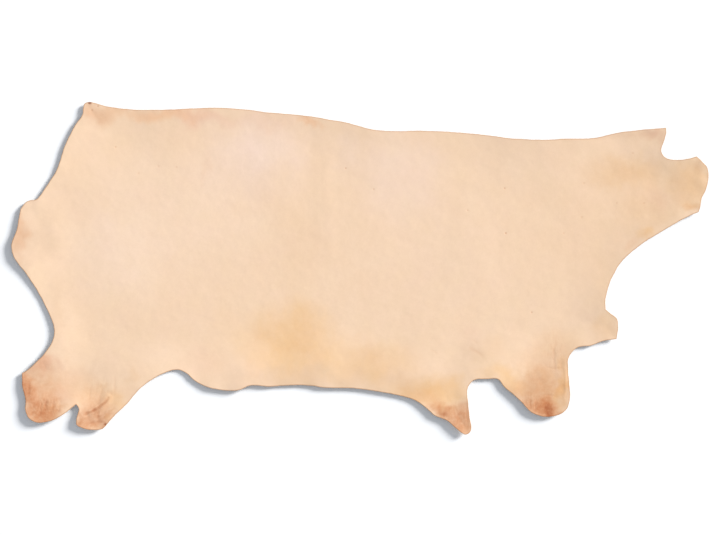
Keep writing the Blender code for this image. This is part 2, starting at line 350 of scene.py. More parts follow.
# Healed bites and knocks in the grain
SPOTS = (
    Spot(-0.050, 0.350, 0.0045, 0.0004, 0.45),
    Spot(0.048, 0.277, 0.0040, 0.0003, 0.40),
    Spot(0.510, 0.123, 0.0050, 0.0004, 0.55),
    Spot(0.506, 0.280, 0.0045, 0.0004, 0.50),
    Spot(0.377, 0.203, 0.0035, 0.0003, 0.35),
    Spot(0.601, -0.154, 0.0045, 0.0004, 0.45),
    Spot(-0.855, 0.424, 0.0050, 0.0003, 0.30),
    Spot(-0.936, 0.553, 0.0040, 0.0004, 0.45),
    Spot(-0.915, 0.567, 0.0045, 0.0004, 0.60),
    Spot(-0.889, -0.545, 0.0060, 0.0006, 1.20),
    Spot(0.898, 0.228, 0.0060, 0.0002, 0.16),
    Spot(0.993, 0.228, 0.0060, 0.0002, 0.14),
    Spot(0.954, 0.403, 0.0060, 0.0002, 0.16),
    Spot(-0.705, 0.357, 0.0060, 0.0002, 0.14),
    Spot(-0.775, 0.333, 0.0060, 0.0002, 0.16),
    Spot(-0.642, 0.354, 0.0060, 0.0002, 0.14),
    Spot(0.783, 0.298, 0.0060, 0.0002, 0.14),
    Spot(0.776, 0.179, 0.0060, 0.0002, 0.16),
    Spot(0.713, 0.123, 0.0050, 0.0002, 0.20),
)

# Where each tone lies on the grain side
TONE_PATCHES = {
    Tone.RUSSET: (
        Patch("back edge of the hind rear flap", -1.171, -0.420, 0.052, 0.091, 0.81),
        Patch("hind rear flap", -1.125, -0.476, 0.119, 0.147, 0.54),
        Patch("toe of the hind rear flap", -1.104, -0.500, 0.098, 0.0595, 0.56),
        Patch("hind shank", -1.048, -0.409, 0.1575, 0.105, 0.12),
        Patch("hock", -1.118, -0.329, 0.063, 0.056, 0.18),
        Patch("hind front flap", -0.929, -0.525, 0.098, 0.070, 0.41),
        Patch("round the hind front flap", -0.922, -0.490, 0.126, 0.098, 0.26),
        Patch("toe of the hind front flap", -0.943, -0.556, 0.077, 0.028, 0.32),
        Patch("back edge of the hind front flap", -0.972, -0.530, 0.028, 0.035, 0.38),
        Patch("tail root", -0.908, 0.546, 0.105, 0.046, 0.08),
        Patch("front of the hind shank", -0.820, -0.441, 0.056, 0.045, 0.06),
        Patch("spot on the back", -0.173, 0.515, 0.063, 0.021, 0.33, -8.0),
        Patch("butt edge", -1.188, 0.126, 0.038, 0.126, 0.14),
        Patch("belly edge at the elbow", 0.247, -0.469, 0.119, 0.042, 0.15, -25.0),
        Patch("fore rear flap", 0.352, -0.539, 0.091, 0.091, 0.86),
        Patch("back edge of the fore rear flap", 0.279, -0.497, 0.060, 0.035, 0.64),
        Patch("fore front flap", 0.632, -0.448, 0.161, 0.119, 0.42),
        Patch("above the fore front flap", 0.650, -0.357, 0.161, 0.119, 0.10),
        Patch("toe of the fore front flap", 0.653, -0.500, 0.073, 0.070, 1.16),
        Patch("beside the toe", 0.597, -0.483, 0.046, 0.042, 0.42),
        Patch("cheek", 1.189, 0.350, 0.035, 0.035, 0.12),
        Patch("chin", 1.171, 0.217, 0.035, 0.028, 0.21),
        Patch("throat", 0.947, 0.088, 0.049, 0.028, 0.12, 30.0),
        Patch("strip on the loin", -0.537, 0.350, 0.025, 0.077, 0.06),
    ),
    Tone.FAWN: (
        Patch("hind shank", -1.048, -0.409, 0.1575, 0.105, 0.12),
        Patch("hock", -1.118, -0.329, 0.063, 0.056, 0.26),
        Patch("tail root", -0.908, 0.546, 0.105, 0.046, 0.18),
        Patch("back over the rump", -0.690, 0.537, 0.224, 0.038, 0.345),
        Patch("below the tail root", -0.936, 0.528, 0.091, 0.052, 0.08),
        Patch("butt edge", -1.188, 0.126, 0.038, 0.126, 0.16),
        Patch("before the elbow", 0.685, -0.269, 0.126, 0.084, 0.05),
        Patch("above the fore front flap", 0.650, -0.357, 0.161, 0.119, 0.10),
        Patch("neck corner", 0.985, 0.467, 0.130, 0.032, 0.07),
    ),
    Tone.HONEY: (
        Patch("belly", -0.243, -0.269, 0.224, 0.189, 0.345),
        Patch("middle of the belly stain", -0.260, -0.294, 0.119, 0.091, 0.03),
        Patch("above the belly stain", -0.187, -0.178, 0.126, 0.105, 0.11),
        Patch("before the belly stain", -0.103, -0.315, 0.091, 0.091, 0.06),
        Patch("belly edge", 0.070, -0.347, 0.210, 0.112, 0.08),
        Patch("behind the belly stain", -0.453, -0.234, 0.105, 0.140, 0.06),
        Patch("belly towards the elbow", 0.020, -0.329, 0.210, 0.126, 0.18),
        Patch("elbow", 0.247, -0.434, 0.175, 0.084, 0.44),
        Patch("front edge of the fore rear flap", 0.342, -0.413, 0.042, 0.063, 0.15),
        Patch("fore bay", 0.482, -0.367, 0.091, 0.0455, 0.25),
        Patch("above the fore bay", 0.457, -0.294, 0.112, 0.070, 0.07),
        Patch("back edge of the fore front flap", 0.534, -0.406, 0.077, 0.056, 0.28),
        Patch("front edge of the fore front flap", 0.713, -0.409, 0.028, 0.126, 0.40),
        Patch("fore front flap", 0.650, -0.430, 0.119, 0.119, 0.16),
        Patch("neck", 0.982, 0.336, 0.182, 0.084, 0.12),
        Patch("hind shank", -0.908, -0.434, 0.140, 0.077, 0.12),
        Patch("toe of the hind rear flap", -1.105, -0.505, 0.090, 0.060, 0.04),
        Patch("throat spot", 1.003, 0.123, 0.042, 0.032, 0.30),
        Patch("before the elbow", 0.685, -0.269, 0.140, 0.091, 0.08),
        Patch("cheek", 1.155, 0.300, 0.098, 0.112, 0.12),
        Patch("neck corner", 1.020, 0.455, 0.084, 0.049, 0.05),
        Patch("chin", 1.171, 0.220, 0.040, 0.035, 0.16),
        Patch("front of the hind shank", -0.852, -0.469, 0.063, 0.049, 0.18),
        Patch("front of the hind front flap", -0.882, -0.518, 0.018, 0.019, 0.15),
    ),
    Tone.OLIVE: (
        Patch("neck", 0.912, 0.336, 0.175, 0.084, 0.16),
        Patch("cheek", 1.157, 0.298, 0.105, 0.126, 0.24),
        Patch("lower neck", 1.017, 0.221, 0.168, 0.119, 0.16),
        Patch("brisket tab", 0.863, -0.210, 0.063, 0.070, 0.18),
        Patch("shoulder towards the neck", 0.842, 0.151, 0.385, 0.420, 0.06),
        Patch("throat edge", 0.856, -0.059, 0.042, 0.105, 0.05),
        Patch("edge above the hock", -1.062, -0.175, 0.035, 0.119, 0.05),
        Patch("spot on the hind shank", -0.799, -0.385, 0.028, 0.035, 0.12),
        Patch("spot on the belly", -0.341, -0.231, 0.042, 0.042, 0.08),
        Patch("band behind the old fold", -0.208, 0.046, 0.119, 0.315, 0.05),
    ),
    Tone.BLUSH: (
        Patch("back over the loin", -0.540, 0.525, 0.147, 0.045, 0.10),
        Patch("back behind the shoulder", -0.341, 0.511, 0.158, 0.049, 0.05),
        Patch("flank", -0.540, -0.322, 0.091, 0.070, 0.04),
        Patch("hock", -1.104, -0.336, 0.060, 0.052, 0.07),
        Patch("above the hind rear flap", -1.037, -0.446, 0.056, 0.049, 0.06),
        Patch("above the elbow", 0.377, -0.220, 0.049, 0.049, 0.03),
        Patch("neck corner", 1.017, 0.469, 0.070, 0.032, 0.10),
        Patch("middle of the neck", 1.035, 0.252, 0.070, 0.070, 0.05),
    ),
    Tone.UMBER: (
        Patch("neck corner", 1.010, 0.470, 0.088, 0.028, 0.06),
        Patch("front of the neck corner", 1.056, 0.427, 0.025, 0.056, 0.08),
        Patch("backbone at the neck", 0.842, 0.459, 0.210, 0.014, 0.06, 4.0),
        Patch("toe of the fore front flap", 0.657, -0.500, 0.035, 0.028, 0.36),
        Patch("back edge of the hind rear flap", -1.174, -0.409, 0.025, 0.077, 0.06),
        Patch("first spot on the hind rear flap", -1.097, -0.467, 0.013, 0.016, 0.25),
        Patch("second spot on the hind rear flap", -1.072, -0.469, 0.009, 0.010, 0.20),
        Patch("third spot on the hind rear flap", -1.048, -0.497, 0.009, 0.010, 0.20),
        Patch("hind front flap", -0.927, -0.520, 0.056, 0.042, 0.12),
        Patch("spot on the hind front flap", -0.890, -0.543, 0.010, 0.010, 0.40),
        Patch("tip of the tail root", -0.9435, 0.579, 0.0085, 0.0085, 1.90),
        Patch("dark spot on the fore rear flap", 0.293, -0.508, 0.021, 0.014, 0.24),
        Patch("middle of the fore rear flap", 0.317, -0.525, 0.025, 0.022, 0.06),
        Patch("small spot on the fore rear flap", 0.345, -0.507, 0.014, 0.011, 0.08),
        Patch("butt edge", -1.195, 0.100, 0.032, 0.126, 0.05),
    ),
    Tone.PALE: (
        Patch("rump", -0.820, 0.081, 0.297, 0.280, 0.95),
        Patch("loin", -0.505, 0.186, 0.280, 0.263, 0.60),
        Patch("flank", -0.698, -0.304, 0.105, 0.070, 0.35),
        Patch("back of the loin", -0.733, 0.326, 0.315, 0.158, 0.40),
        Patch("back behind the shoulder", -0.330, 0.431, 0.245, 0.123, 0.60),
        Patch("back over the shoulder", 0.125, 0.413, 0.245, 0.105, 0.40),
    ),
    Tone.LILAC: (
        Patch("back behind the shoulder", -0.372, 0.392, 0.270, 0.200, 1.05),
        Patch("shoulder", 0.142, 0.308, 0.217, 0.210, 0.95),
        Patch("rump", -0.908, 0.046, 0.140, 0.175, 0.18),
        Patch("front of the old fold", -0.045, 0.400, 0.077, 0.112, 0.65),
        Patch("ribs", 0.247, 0.028, 0.350, 0.280, 0.20),
    ),
    # Partly dust and grey marks, partly painted shade that evens out the extra sun on the lifted rims
    # at the butt, hind leg, shanks and belly; the patches below nought paint light, most of them where
    # the rims at the cheek, neck, throat, tab and back slope away from the sun
    Tone.DUST_AND_PAINTED_SHADING: (
        Patch("butt", -1.118, 0.126, 0.084, 0.126, 0.12),
        Patch("butt edge", -1.184, 0.130, 0.056, 0.084, 0.07),
        Patch("hind shank", -0.936, -0.395, 0.112, 0.084, 0.06),
        Patch("scratched field above the elbow", 0.405, -0.290, 0.063, 0.056, 0.05),
        Patch("elbow", 0.212, -0.409, 0.112, 0.070, 0.05),
        Patch("top of the butt", -1.188, 0.214, 0.056, 0.042, 0.09),
        Patch("foot of the butt", -1.185, 0.021, 0.063, 0.077, 0.10),
        Patch("back of the hind leg", -1.090, -0.182, 0.091, 0.196, 0.11),
        Patch("hock", -1.111, -0.339, 0.070, 0.063, 0.06),
        Patch("end of the crease", -0.868, -0.434, 0.035, 0.035, 0.05),
        Patch("hind rear flap", -1.146, -0.448, 0.077, 0.126, 0.06),
        Patch("above the hind rear flap", -1.076, -0.378, 0.070, 0.063, 0.05),
        Patch("back edge of the hind front flap", -0.978, -0.521, 0.035, 0.045, 0.11),
        Patch("below the tail root", -0.950, 0.525, 0.063, 0.049, 0.05),
        Patch("front of the old fold", -0.113, 0.221, 0.032, 0.245, 0.03),
        Patch("belly", -0.208, -0.399, 0.455, 0.084, 0.115),
        Patch("belly at the elbow", 0.107, -0.420, 0.245, 0.098, 0.10),
        Patch("back edge of the fore rear flap", 0.293, -0.500, 0.056, 0.035, 0.06),
        Patch("fore rear flap", 0.352, -0.525, 0.056, 0.056, 0.025),
        Patch("fore front flap", 0.590, -0.430, 0.112, 0.084, 0.11),
        Patch("belly towards the elbow", 0.020, -0.322, 0.126, 0.091, 0.07),
        Patch("throat", 1.003, 0.126, 0.091, 0.070, 0.05),
        Patch("light cheek", 1.173, 0.280, 0.077, 0.119, -0.105),
        Patch("light neck", 1.024, 0.301, 0.084, 0.084, -0.04),
        Patch("light edge of the fore front flap", 0.709, -0.406, 0.028, 0.084, -0.05),
        Patch("light edge of the tab", 0.880, -0.205, 0.040, 0.060, -0.03),
        Patch("light edge of the throat", 0.856, -0.040, 0.035, 0.091, -0.03),
        Patch("light back", -0.690, 0.535, 0.224, 0.038, -0.085),
        Patch("light spot on the back", -0.173, 0.515, 0.063, 0.021, -0.07),
    ),
}

# Where the mesh is finer, over the shanks and the tail root
FINE_AREAS = (
    FineArea(-1.120, -0.460, 0.105, 0.0045),
    FineArea(-0.915, -0.485, 0.090, 0.0045),
    FineArea(0.345, -0.510, 0.085, 0.0045),
    FineArea(0.655, -0.400, 0.150, 0.0045),
    FineArea(-0.935, 0.560, 0.040, 0.0045),
)


def fade(share: np.ndarray) -> np.ndarray:
    """One at nought and nothing from one on, level at both ends."""
    return (1.0 - np.clip(share, 0.0, 1.0) ** 2) ** 2


def bend_line(wrinkle: Wrinkle, count: int) -> np.ndarray:
    """Lays points along the middle of a wrinkle.

    Args:
        wrinkle: The wrinkle, which bends smoothly through its middle mark.
        count: How many points to lay.

    Returns:
        The points, one row each.
    """
    share = np.linspace(0.0, 1.0, count)[:, None]
    start, bend, end = (np.array(place) for place in (wrinkle.start, wrinkle.bend, wrinkle.end))
    pull = 2.0 * bend - 0.5 * (start + end)
    return (1.0 - share) ** 2 * start + 2.0 * share * (1.0 - share) * pull + share ** 2 * end


def distance_to_line(points: np.ndarray, line: np.ndarray) -> tuple[np.ndarray, np.ndarray]:
    """Measures how far points lie from a line of straight pieces.

    Args:
        points: The points, one row each.
        line: The line's own points, one row each.

    Returns:
        Each point's distance, and how far along the line its nearest place is, from 0 to 1.
    """
    runs = line[1:] - line[:-1]
    offsets = points[:, None, :] - line[None, :-1, :]
    share = np.clip((offsets * runs).sum(axis=2) / (runs * runs).sum(axis=1), 0.0, 1.0)
    away = np.linalg.norm(offsets - share[:, :, None] * runs, axis=2)
    nearest = away.argmin(axis=1)
    rows = np.arange(len(points))
    return away[rows, nearest], (nearest + share[rows, nearest]) / len(runs)


def trace(wrinkle: Wrinkle, points: np.ndarray) -> tuple[np.ndarray, np.ndarray]:
    """Measures how strongly a wrinkle shows at the points near it.

    Args:
        wrinkle: The wrinkle, which fades towards both ends.
        points: The points, one row each.

    Returns:
        The numbers of the points near the wrinkle, and its strength at each, from 0 to 1.
    """
    line = bend_line(wrinkle, 12)
    low = line.min(axis=0) - wrinkle.width
    high = line.max(axis=0) + wrinkle.width
    near = np.flatnonzero(((points > low) & (points < high)).all(axis=1))
    away, share = distance_to_line(points[near], line)
    taper = np.sqrt(np.clip(4.0 * share * (1.0 - share), 0.0, 1.0))
    return near, taper * fade(2.0 * away / wrinkle.width)


def stray(points: np.ndarray) -> np.ndarray:
    """Moves points a little, so that no fine line of the grain runs smooth and straight."""
    shift = np.stack([Waver(seed, STRAY_LENGTH).at(points) for seed in (35, 36)], axis=1)
    return points + STRAY_SHIFT * shift


def plant_tree(points: np.ndarray) -> KDTree:
    """Builds a search tree over flat points.

    Args:
        points: The points, one row each.

    Returns:
        The balanced tree.
    """
    tree = KDTree(len(points))
    for number, (along, across) in enumerate(points.tolist()):
        tree.insert((along, across, 0.0), number)
    tree.balance()
    return tree


def clear_of(points: np.ndarray, others: np.ndarray, gap: float) -> np.ndarray:
    """Drops the points that lie too close to others.

    Args:
        points: The points to thin.
        others: The points that stay whatever happens.
        gap: The least distance between the two.

    Returns:
        The points that are left.
    """
    if not len(others) or not len(points):
        return points
    tree = plant_tree(others)
    away = [tree.find((along, across, 0.0))[2] for along, across in points.tolist()]
    return points[np.array(away) > gap]


def triangulate(loop: np.ndarray, inner: np.ndarray) -> tuple[np.ndarray, np.ndarray]:
    """Fills a closed loop with triangles through the points inside it.

    Args:
        loop: The loop's points, counter-clockwise.
        inner: The points inside the loop.

    Returns:
        The places, the loop's own first and in their order, and the triangles as rows of numbers.

    Raises:
        ValueError: If two points of the loop fall together.
    """
    points = [Vector(place) for place in np.concatenate((loop, inner))]
    outline = [list(range(len(loop)))]
    places, _, faces, sources, *_ = delaunay_2d_cdt(points, [], outline, INSIDE_ONLY, MERGE_DISTANCE)
    numbers = np.array([min(source) if source else len(points) for source in sources])
    if np.count_nonzero(numbers < len(loop)) != len(loop):
        raise ValueError("two points of the cut edge fall together")
    others = np.flatnonzero(numbers >= len(loop))
    numbers[others] = len(loop) + np.arange(len(others))
    flat = np.empty((len(places), 2))
    flat[numbers] = np.array([tuple(place) for place in places])
    triangles = numbers[np.array(faces)]
    first, second, third = (flat[triangles[:, corner]] for corner in range(3))
    run, rise = second - first, third - first
    turned = run[:, 0] * rise[:, 1] - run[:, 1] * rise[:, 0] < 0.0
    triangles[turned] = triangles[turned][:, ::-1]
    return flat, triangles


@dataclass(frozen=True)
class Waver:
    """A smooth random field with one size of wave."""

    seed: int
    length: float
    waves: int = 16

    def at(self, points: np.ndarray) -> np.ndarray:
        """Reads the field.

        Args:
            points: Where to read it, one row each.

        Returns:
            A value for each point, mostly between -1 and 1.
        """
        draw = np.random.default_rng(self.seed)
        total = np.zeros(len(points))
        for _ in range(self.waves):
            turn, shift = draw.uniform(0.0, 2.0 * math.pi, 2)
            step = 2.0 * math.pi / (self.length * draw.uniform(0.7, 1.6))
            lean = points[:, 0] * math.cos(turn) + points[:, 1] * math.sin(turn)
            total += np.sin(step * lean + shift)
        return total / math.sqrt(2.0 * self.waves)


@dataclass
class CutEdge:
    """The cut edge of the side, as a knife leaves it."""

    stretches: tuple[EdgeStretch, ...] = CUT_EDGE
    step: float = 0.004
    dense_step: float = 0.002
    slow_waver: float = 0.0005
    quick_waver: float = 0.0003

    def __post_init__(self) -> None:
        """Lays the edge twice, once for the mesh and once to measure from."""
        self.loop = self.trimmed(self.step)
        self.outward = self.outward_of(self.loop)
        self.dense = self.trimmed(self.dense_step)
        self.dense_outward = self.outward_of(self.dense)
        self.tree = plant_tree(self.dense)

    def smooth(self, step: float) -> np.ndarray:
        """Lays the edge smoothly through its marks.

        Args:
            step: About how far apart the points are.

        Returns:
            The closed edge, with a point on every mark.
        """
        places = []
        sharp = []
        for stretch in self.stretches:
            places.extend(np.array(mark) for mark in stretch.marks)
            sharp.extend(number in stretch.corners for number in range(len(stretch.marks)))
        count = len(places)
        spans = []
        for number in range(count):
            start, end = places[number], places[(number + 1) % count]
            ahead = (number + 1) % count
            before = 2.0 * start - end if sharp[number] else places[number - 1]
            after = 2.0 * end - start if sharp[ahead] else places[(number + 2) % count]
            pieces = max(1, round(float(np.linalg.norm(end - start)) / step))
            spans.append(self.span(before, start, end, after, pieces))
        return np.concatenate(spans)

    @staticmethod
    def span(
        before: np.ndarray, start: np.ndarray, end: np.ndarray, after: np.ndarray, count: int
    ) -> np.ndarray:
        """Lays points from start up to, but not at, end, on the curve through all four places.

        Args:
            before: The place before the span.
            start: The span's first place.
            end: The span's last place.
            after: The place after the span.
            count: How many points to lay.

        Returns:
            The points, one row each.
        """
        lead_in = math.sqrt(float(np.linalg.norm(start - before)))
        middle = math.sqrt(float(np.linalg.norm(end - start)))
        lead_out = math.sqrt(float(np.linalg.norm(after - end)))
        leaving = (start - before) / lead_in - (end - before) / (lead_in + middle)
        leaving = leaving + (end - start) / middle
        arriving = (end - start) / middle - (after - start) / (middle + lead_out)
        arriving = arriving + (after - end) / lead_out
        share = np.arange(count)[:, None] / count
        ease = share * share * (3.0 - 2.0 * share)
        lean_out = share * (1.0 - share) ** 2 * middle
        lean_in = -share * share * (1.0 - share) * middle
        return start + ease * (end - start) + lean_out * leaving + lean_in * arriving

    @staticmethod
    def outward_of(loop: np.ndarray) -> np.ndarray:
        """Finds which way is out of the sheet at each point of a counter-clockwise loop.

        Args:
            loop: The loop's points, one row each.

        Returns:
            The way out at each point.
        """
        run = np.roll(loop, -1, axis=0) - np.roll(loop, 1, axis=0)
        out = np.stack((run[:, 1], -run[:, 0]), axis=1)
        return out / np.linalg.norm(out, axis=1)[:, None]

    def trimmed(self, step: float) -> np.ndarray:
        """Lays the edge with the small unevenness of a hand-held knife.

        Args:
            step: About how far apart the points are.

        Returns:
            The closed edge.
        """
        loop = self.smooth(step)
        out = self.outward_of(loop)
        waver = self.slow_waver * Waver(11, 0.045).at(loop)
        waver = waver + self.quick_waver * Waver(12, 0.014).at(loop)
        return loop + waver[:, None] * out

    def depth(self, points: np.ndarray) -> np.ndarray:
        """Measures how deep points lie inside the edge.

        Args:
            points: The points, one row each.

        Returns:
            Each point's distance to the edge, below nought outside it.
        """
        found = [self.tree.find((along, across, 0.0)) for along, across in points.tolist()]
        nearest = np.array([hit[1] for hit in found])
        away = np.array([hit[2] for hit in found])
        leaning = ((points - self.dense[nearest]) * self.dense_outward[nearest]).sum(axis=1)
        return np.where(leaning > 0.0, -away, away)

    def ring(self, inset: float, every: int) -> np.ndarray:
        """Lays a ring of points inside the edge.

        Args:
            inset: How far inside the edge it runs.
            every: How many points of the edge there are to one of the ring.

        Returns:
            The ring's points, without those where the ring would cross itself.
        """
        ring = (self.loop - inset * self.outward)[::every]
        return ring[self.depth(ring) > 0.9 * inset]


@dataclass
class Relief:
    """The form of the sheet above the ground, and the finer relief of its grain side."""

    rim_rise: float = 0.004
    rim_reach: float = 0.14
    thickness: float = 0.003
    ripple_rise: float = 0.0016
    ripple_reach: float = 0.055
    swell_rise: float = 0.0009
    puff_rise: float = 0.00022

    def underside(self, points: np.ndarray, depth: np.ndarray) -> np.ndarray:
        """Measures the height of the flesh side above the ground.

        Args:
            points: The places, one row each.
            depth: Each place's distance from the cut edge.

        Returns:
            The height at each place.
        """
        heights = self.rim_rise * (1.0 - np.clip(depth / self.rim_reach, 0.0, 1.0)) ** 2
        loose = np.zeros(len(points))
        for lift in LIFTS:
            away = np.linalg.norm(points - np.array((lift.along, lift.across)), axis=1)
            share = lift.rise * fade(away / lift.reach)
            heights = heights + share
            loose = loose + share
        for crease in CREASES:
            near, share = trace(crease, points)
            heights[near] += crease.rise * share
        ripple = 0.5 + 0.5 * Waver(21, 0.085).at(points)
        ripple = ripple * fade(depth / self.ripple_reach) * np.clip(loose / 0.008, 0.0, 1.0)
        swell = np.clip(Waver(22, 0.42).at(points) - 0.1, 0.0, 1.0)
        return heights + self.ripple_rise * np.clip(ripple, 0.0, 1.0) + self.swell_rise * swell

    def grain(self, points: np.ndarray) -> np.ndarray:
        """Measures how far the grain side stands above or below an even thickness.

        Args:
            points: The places, one row each.

        Returns:
            The small height at each place.
        """
        puff = 0.6 * Waver(23, 0.060).at(points) + 0.4 * Waver(24, 0.024).at(points)
        puff = self.puff_rise * puff
        strayed = stray(points)
        for wrinkle in WRINKLES:
            near, share = trace(wrinkle, strayed)
            puff[near] += wrinkle.rise * share
        for spot in SPOTS:
            away = np.linalg.norm(points - np.array((spot.along, spot.across)), axis=1)
            puff -= spot.depth * fade(away / spot.radius)
        return puff


@dataclass
class ToneChart:
    """Paints how strong each tone is over the grain side."""

    slow_shift: float = 0.016
    quick_shift: float = 0.007
    pleat_length: float = 2.6
    small_reach: float = 0.02

    def drift(self, points: np.ndarray) -> np.ndarray:
        """Moves the places a little so that no border of a tone is a plain oval.

        Args:
            points: The places, one row each.

        Returns:
            The places after the move.
        """
        slow = np.stack([Waver(seed, 0.12).at(points) for seed in (31, 32)], axis=1)
        quick = np.stack([Waver(seed, 0.035).at(points) for seed in (33, 34)], axis=1)
        return points + self.slow_shift * slow + self.quick_shift * quick

    def patch(self, places: np.ndarray, patch: Patch) -> np.ndarray:
        """Measures one patch's strength at each place.

        Args:
            places: The places, one row each.
            patch: The patch.

        Returns:
            The patch's strength at each place.
        """
        turn = math.radians(patch.turn)
        along = places[:, 0] - patch.along
        across = places[:, 1] - patch.across
        first = (along * math.cos(turn) + across * math.sin(turn)) / patch.reach_along
        second = (across * math.cos(turn) - along * math.sin(turn)) / patch.reach_across
        return patch.strength * fade(np.sqrt(first * first + second * second))

    def strengths(self, points: np.ndarray) -> dict[Tone, np.ndarray]:
        """Measures every tone at each point.

        Args:
            points: The points, one row each.

        Returns:
            The strength of each tone at each point.
        """
        shifted = self.drift(points)
        chart = {tone: np.zeros(len(points)) for tone in Tone}
        for tone, patches in TONE_PATCHES.items():
            for patch in patches:
                small = min(patch.reach_along, patch.reach_across) < self.small_reach
                chart[tone] += self.patch(points if small else shifted, patch)
        # Painted shade along the creases, and the real dark marks of the healed spots
        lines = chart[Tone.CREASE]
        strayed = stray(points)
        for wrinkle in WRINKLES:
            near, share = trace(wrinkle, strayed)
            lines[near] += wrinkle.stain * share
        for spot in SPOTS:
            away = np.linalg.norm(points - np.array((spot.along, spot.across)), axis=1)
            lines += spot.stain * fade(away / spot.radius)
        return chart

    def pleats(self, points: np.ndarray) -> np.ndarray:
        """Lays the course of the shanks' finest creases.

        Args:
            points: The points, one row each.

        Returns:
            For each point how many creases over it lies, how far along them, and their strength.
        """
        course = np.zeros((len(points), 3))
        for area in PLEAT_AREAS:
            first = (points[:, 0] - area.along) / area.reach_along
            second = (points[:, 1] - area.across) / area.reach_across
            strength = area.strength * fade(np.sqrt(first * first + second * second))
            offset = points - np.array(area.pivot)
            radius = np.linalg.norm(offset, axis=1)
            middle = math.dist((area.along, area.across), area.pivot)
            turn = np.arctan2(offset[:, 0], -offset[:, 1])
            found = np.stack((
                turn * middle / area.spacing, radius / (self.pleat_length * area.spacing), strength),
                axis=1)
            stronger = strength > course[:, 2]
            course[stronger] = found[stronger]
        return course


@dataclass
class NodeBoard:
    """Places and links the nodes of one tree."""

    tree: bpy.types.NodeTree

    def add(self, kind: str, **settings: object) -> bpy.types.Node:
        """Places one node.

        Args:
            kind: Blender's name for the node.
            **settings: The node's own settings.

        Returns:
            The new node.
        """
        node = self.tree.nodes.new(kind)
        for name, value in settings.items():
            setattr(node, name, value)
        return node

    def feed(self, socket: bpy.types.NodeSocket, value: object) -> None:
        """Links a socket where the value is another socket, and sets it otherwise.

        Args:
            socket: The input to feed.
            value: Another node's output, or a plain value.
        """
        if isinstance(value, bpy.types.NodeSocket):
            self.tree.links.new(value, socket)
        else:
            socket.default_value = value

    def math(self, operation: str, *values: object, clamp: bool = False) -> bpy.types.NodeSocket:
        """Adds a sum and gives its result.

        Args:
            operation: The Math node's operation.
            *values: Numbers or sockets, in the node's order.
            clamp: Whether the result stays from 0 to 1.

        Returns:
            The result's socket.
        """
        node = self.add("ShaderNodeMath", operation=operation, use_clamp=clamp)
        for socket, value in zip(node.inputs, values):
            self.feed(socket, value)
        return node.outputs[0]

    def vector(self, operation: str, *values: object) -> bpy.types.NodeSocket:
        """Adds a sum on vectors and gives its result.

        Args:
            operation: The Vector Math node's operation. The second value of SCALE is its factor.
            *values: Vectors or sockets, in the node's order.

        Returns:
            The result's socket.
        """
        node = self.add("ShaderNodeVectorMath", operation=operation)
        sockets = (node.inputs[0], node.inputs[3]) if operation == "SCALE" else node.inputs
        for socket, value in zip(sockets, values):
            self.feed(socket, value)
        return node.outputs[0]

    def span(
        self, value: object, low: float, high: float, to_low: float, to_high: float,
    ) -> bpy.types.NodeSocket:
        """Carries a value from one span of numbers to another, and no further than its ends.

        Args:
            value: A number or socket.
            low: The start of the first span.
            high: The end of the first span.
            to_low: What the start becomes.
            to_high: What the end becomes.

        Returns:
            The result's socket.
        """
        node = self.add("ShaderNodeMapRange", clamp=True)
        for socket, given in zip(node.inputs, (value, low, high, to_low, to_high)):
            self.feed(socket, given)
        return node.outputs[0]

    def mix(self, blend: str, factor: object, first: object, second: object) -> bpy.types.NodeSocket:
        """Mixes two colours and gives the result.

        Args:
            blend: The Mix node's way of blending.
            factor: The share of the second colour, a number or socket.
            first: The first colour or its socket.
            second: The second colour or its socket.

        Returns:
            The result's socket.
        """
        node = self.add("ShaderNodeMix", data_type="RGBA", blend_type=blend)
        sockets = (node.inputs[0], node.inputs[6], node.inputs[7])
        for socket, given in zip(sockets, (factor, first, second)):
            self.feed(socket, given)
        return node.outputs[2]

    def noise(
        self, vector: object, scale: object, detail: float, roughness: float = 0.5,
    ) -> bpy.types.NodeSocket:
        """Adds a noise texture and gives its value.

        Args:
            vector: Where the texture is read.
            scale: Its scale, a number or socket.
            detail: How many finer layers it has.
            roughness: How strong the finer layers are.

        Returns:
            The value's socket.
        """
        node = self.add("ShaderNodeTexNoise")
        inputs = {"Vector": vector, "Scale": scale, "Detail": detail, "Roughness": roughness}
        for name, given in inputs.items():
            self.feed(node.inputs[name], given)
        return node.outputs["Fac"]

    def cells(self, vector: object, scale: object, feature: str) -> bpy.types.NodeSocket:
        """Adds a cell texture and gives its distance.

        Args:
            vector: Where the texture is read.
            scale: Its scale, a number or socket.
            feature: What it measures, by the Voronoi node's name.

        Returns:
            The distance's socket.
        """
        node = self.add("ShaderNodeTexVoronoi", feature=feature)
        self.feed(node.inputs["Vector"], vector)
        self.feed(node.inputs["Scale"], scale)
        return node.outputs["Distance"]

    def attribute(self, name: str, output: str = "Fac") -> bpy.types.NodeSocket:
        """Reads a mesh attribute, as a number unless another output is named."""
        return self.add("ShaderNodeAttribute", attribute_name=name).outputs[output]

    def group(self, tree: bpy.types.NodeTree, **values: object) -> bpy.types.Node:
        """Places a node group and feeds its inputs.

        Args:
            tree: The group.
            **values: What each input gets, by its name with _ for each space.

        Returns:
            The group's node.
        """
        node = self.add("ShaderNodeGroup", node_tree=tree)
        for name, value in values.items():
            self.feed(node.inputs[name.replace("_", " ")], value)
        return node


@dataclass(frozen=True)
class GroupSocket:
    """One named input or output of a node group."""

    name: str
    kind: Socket
    value: object = None


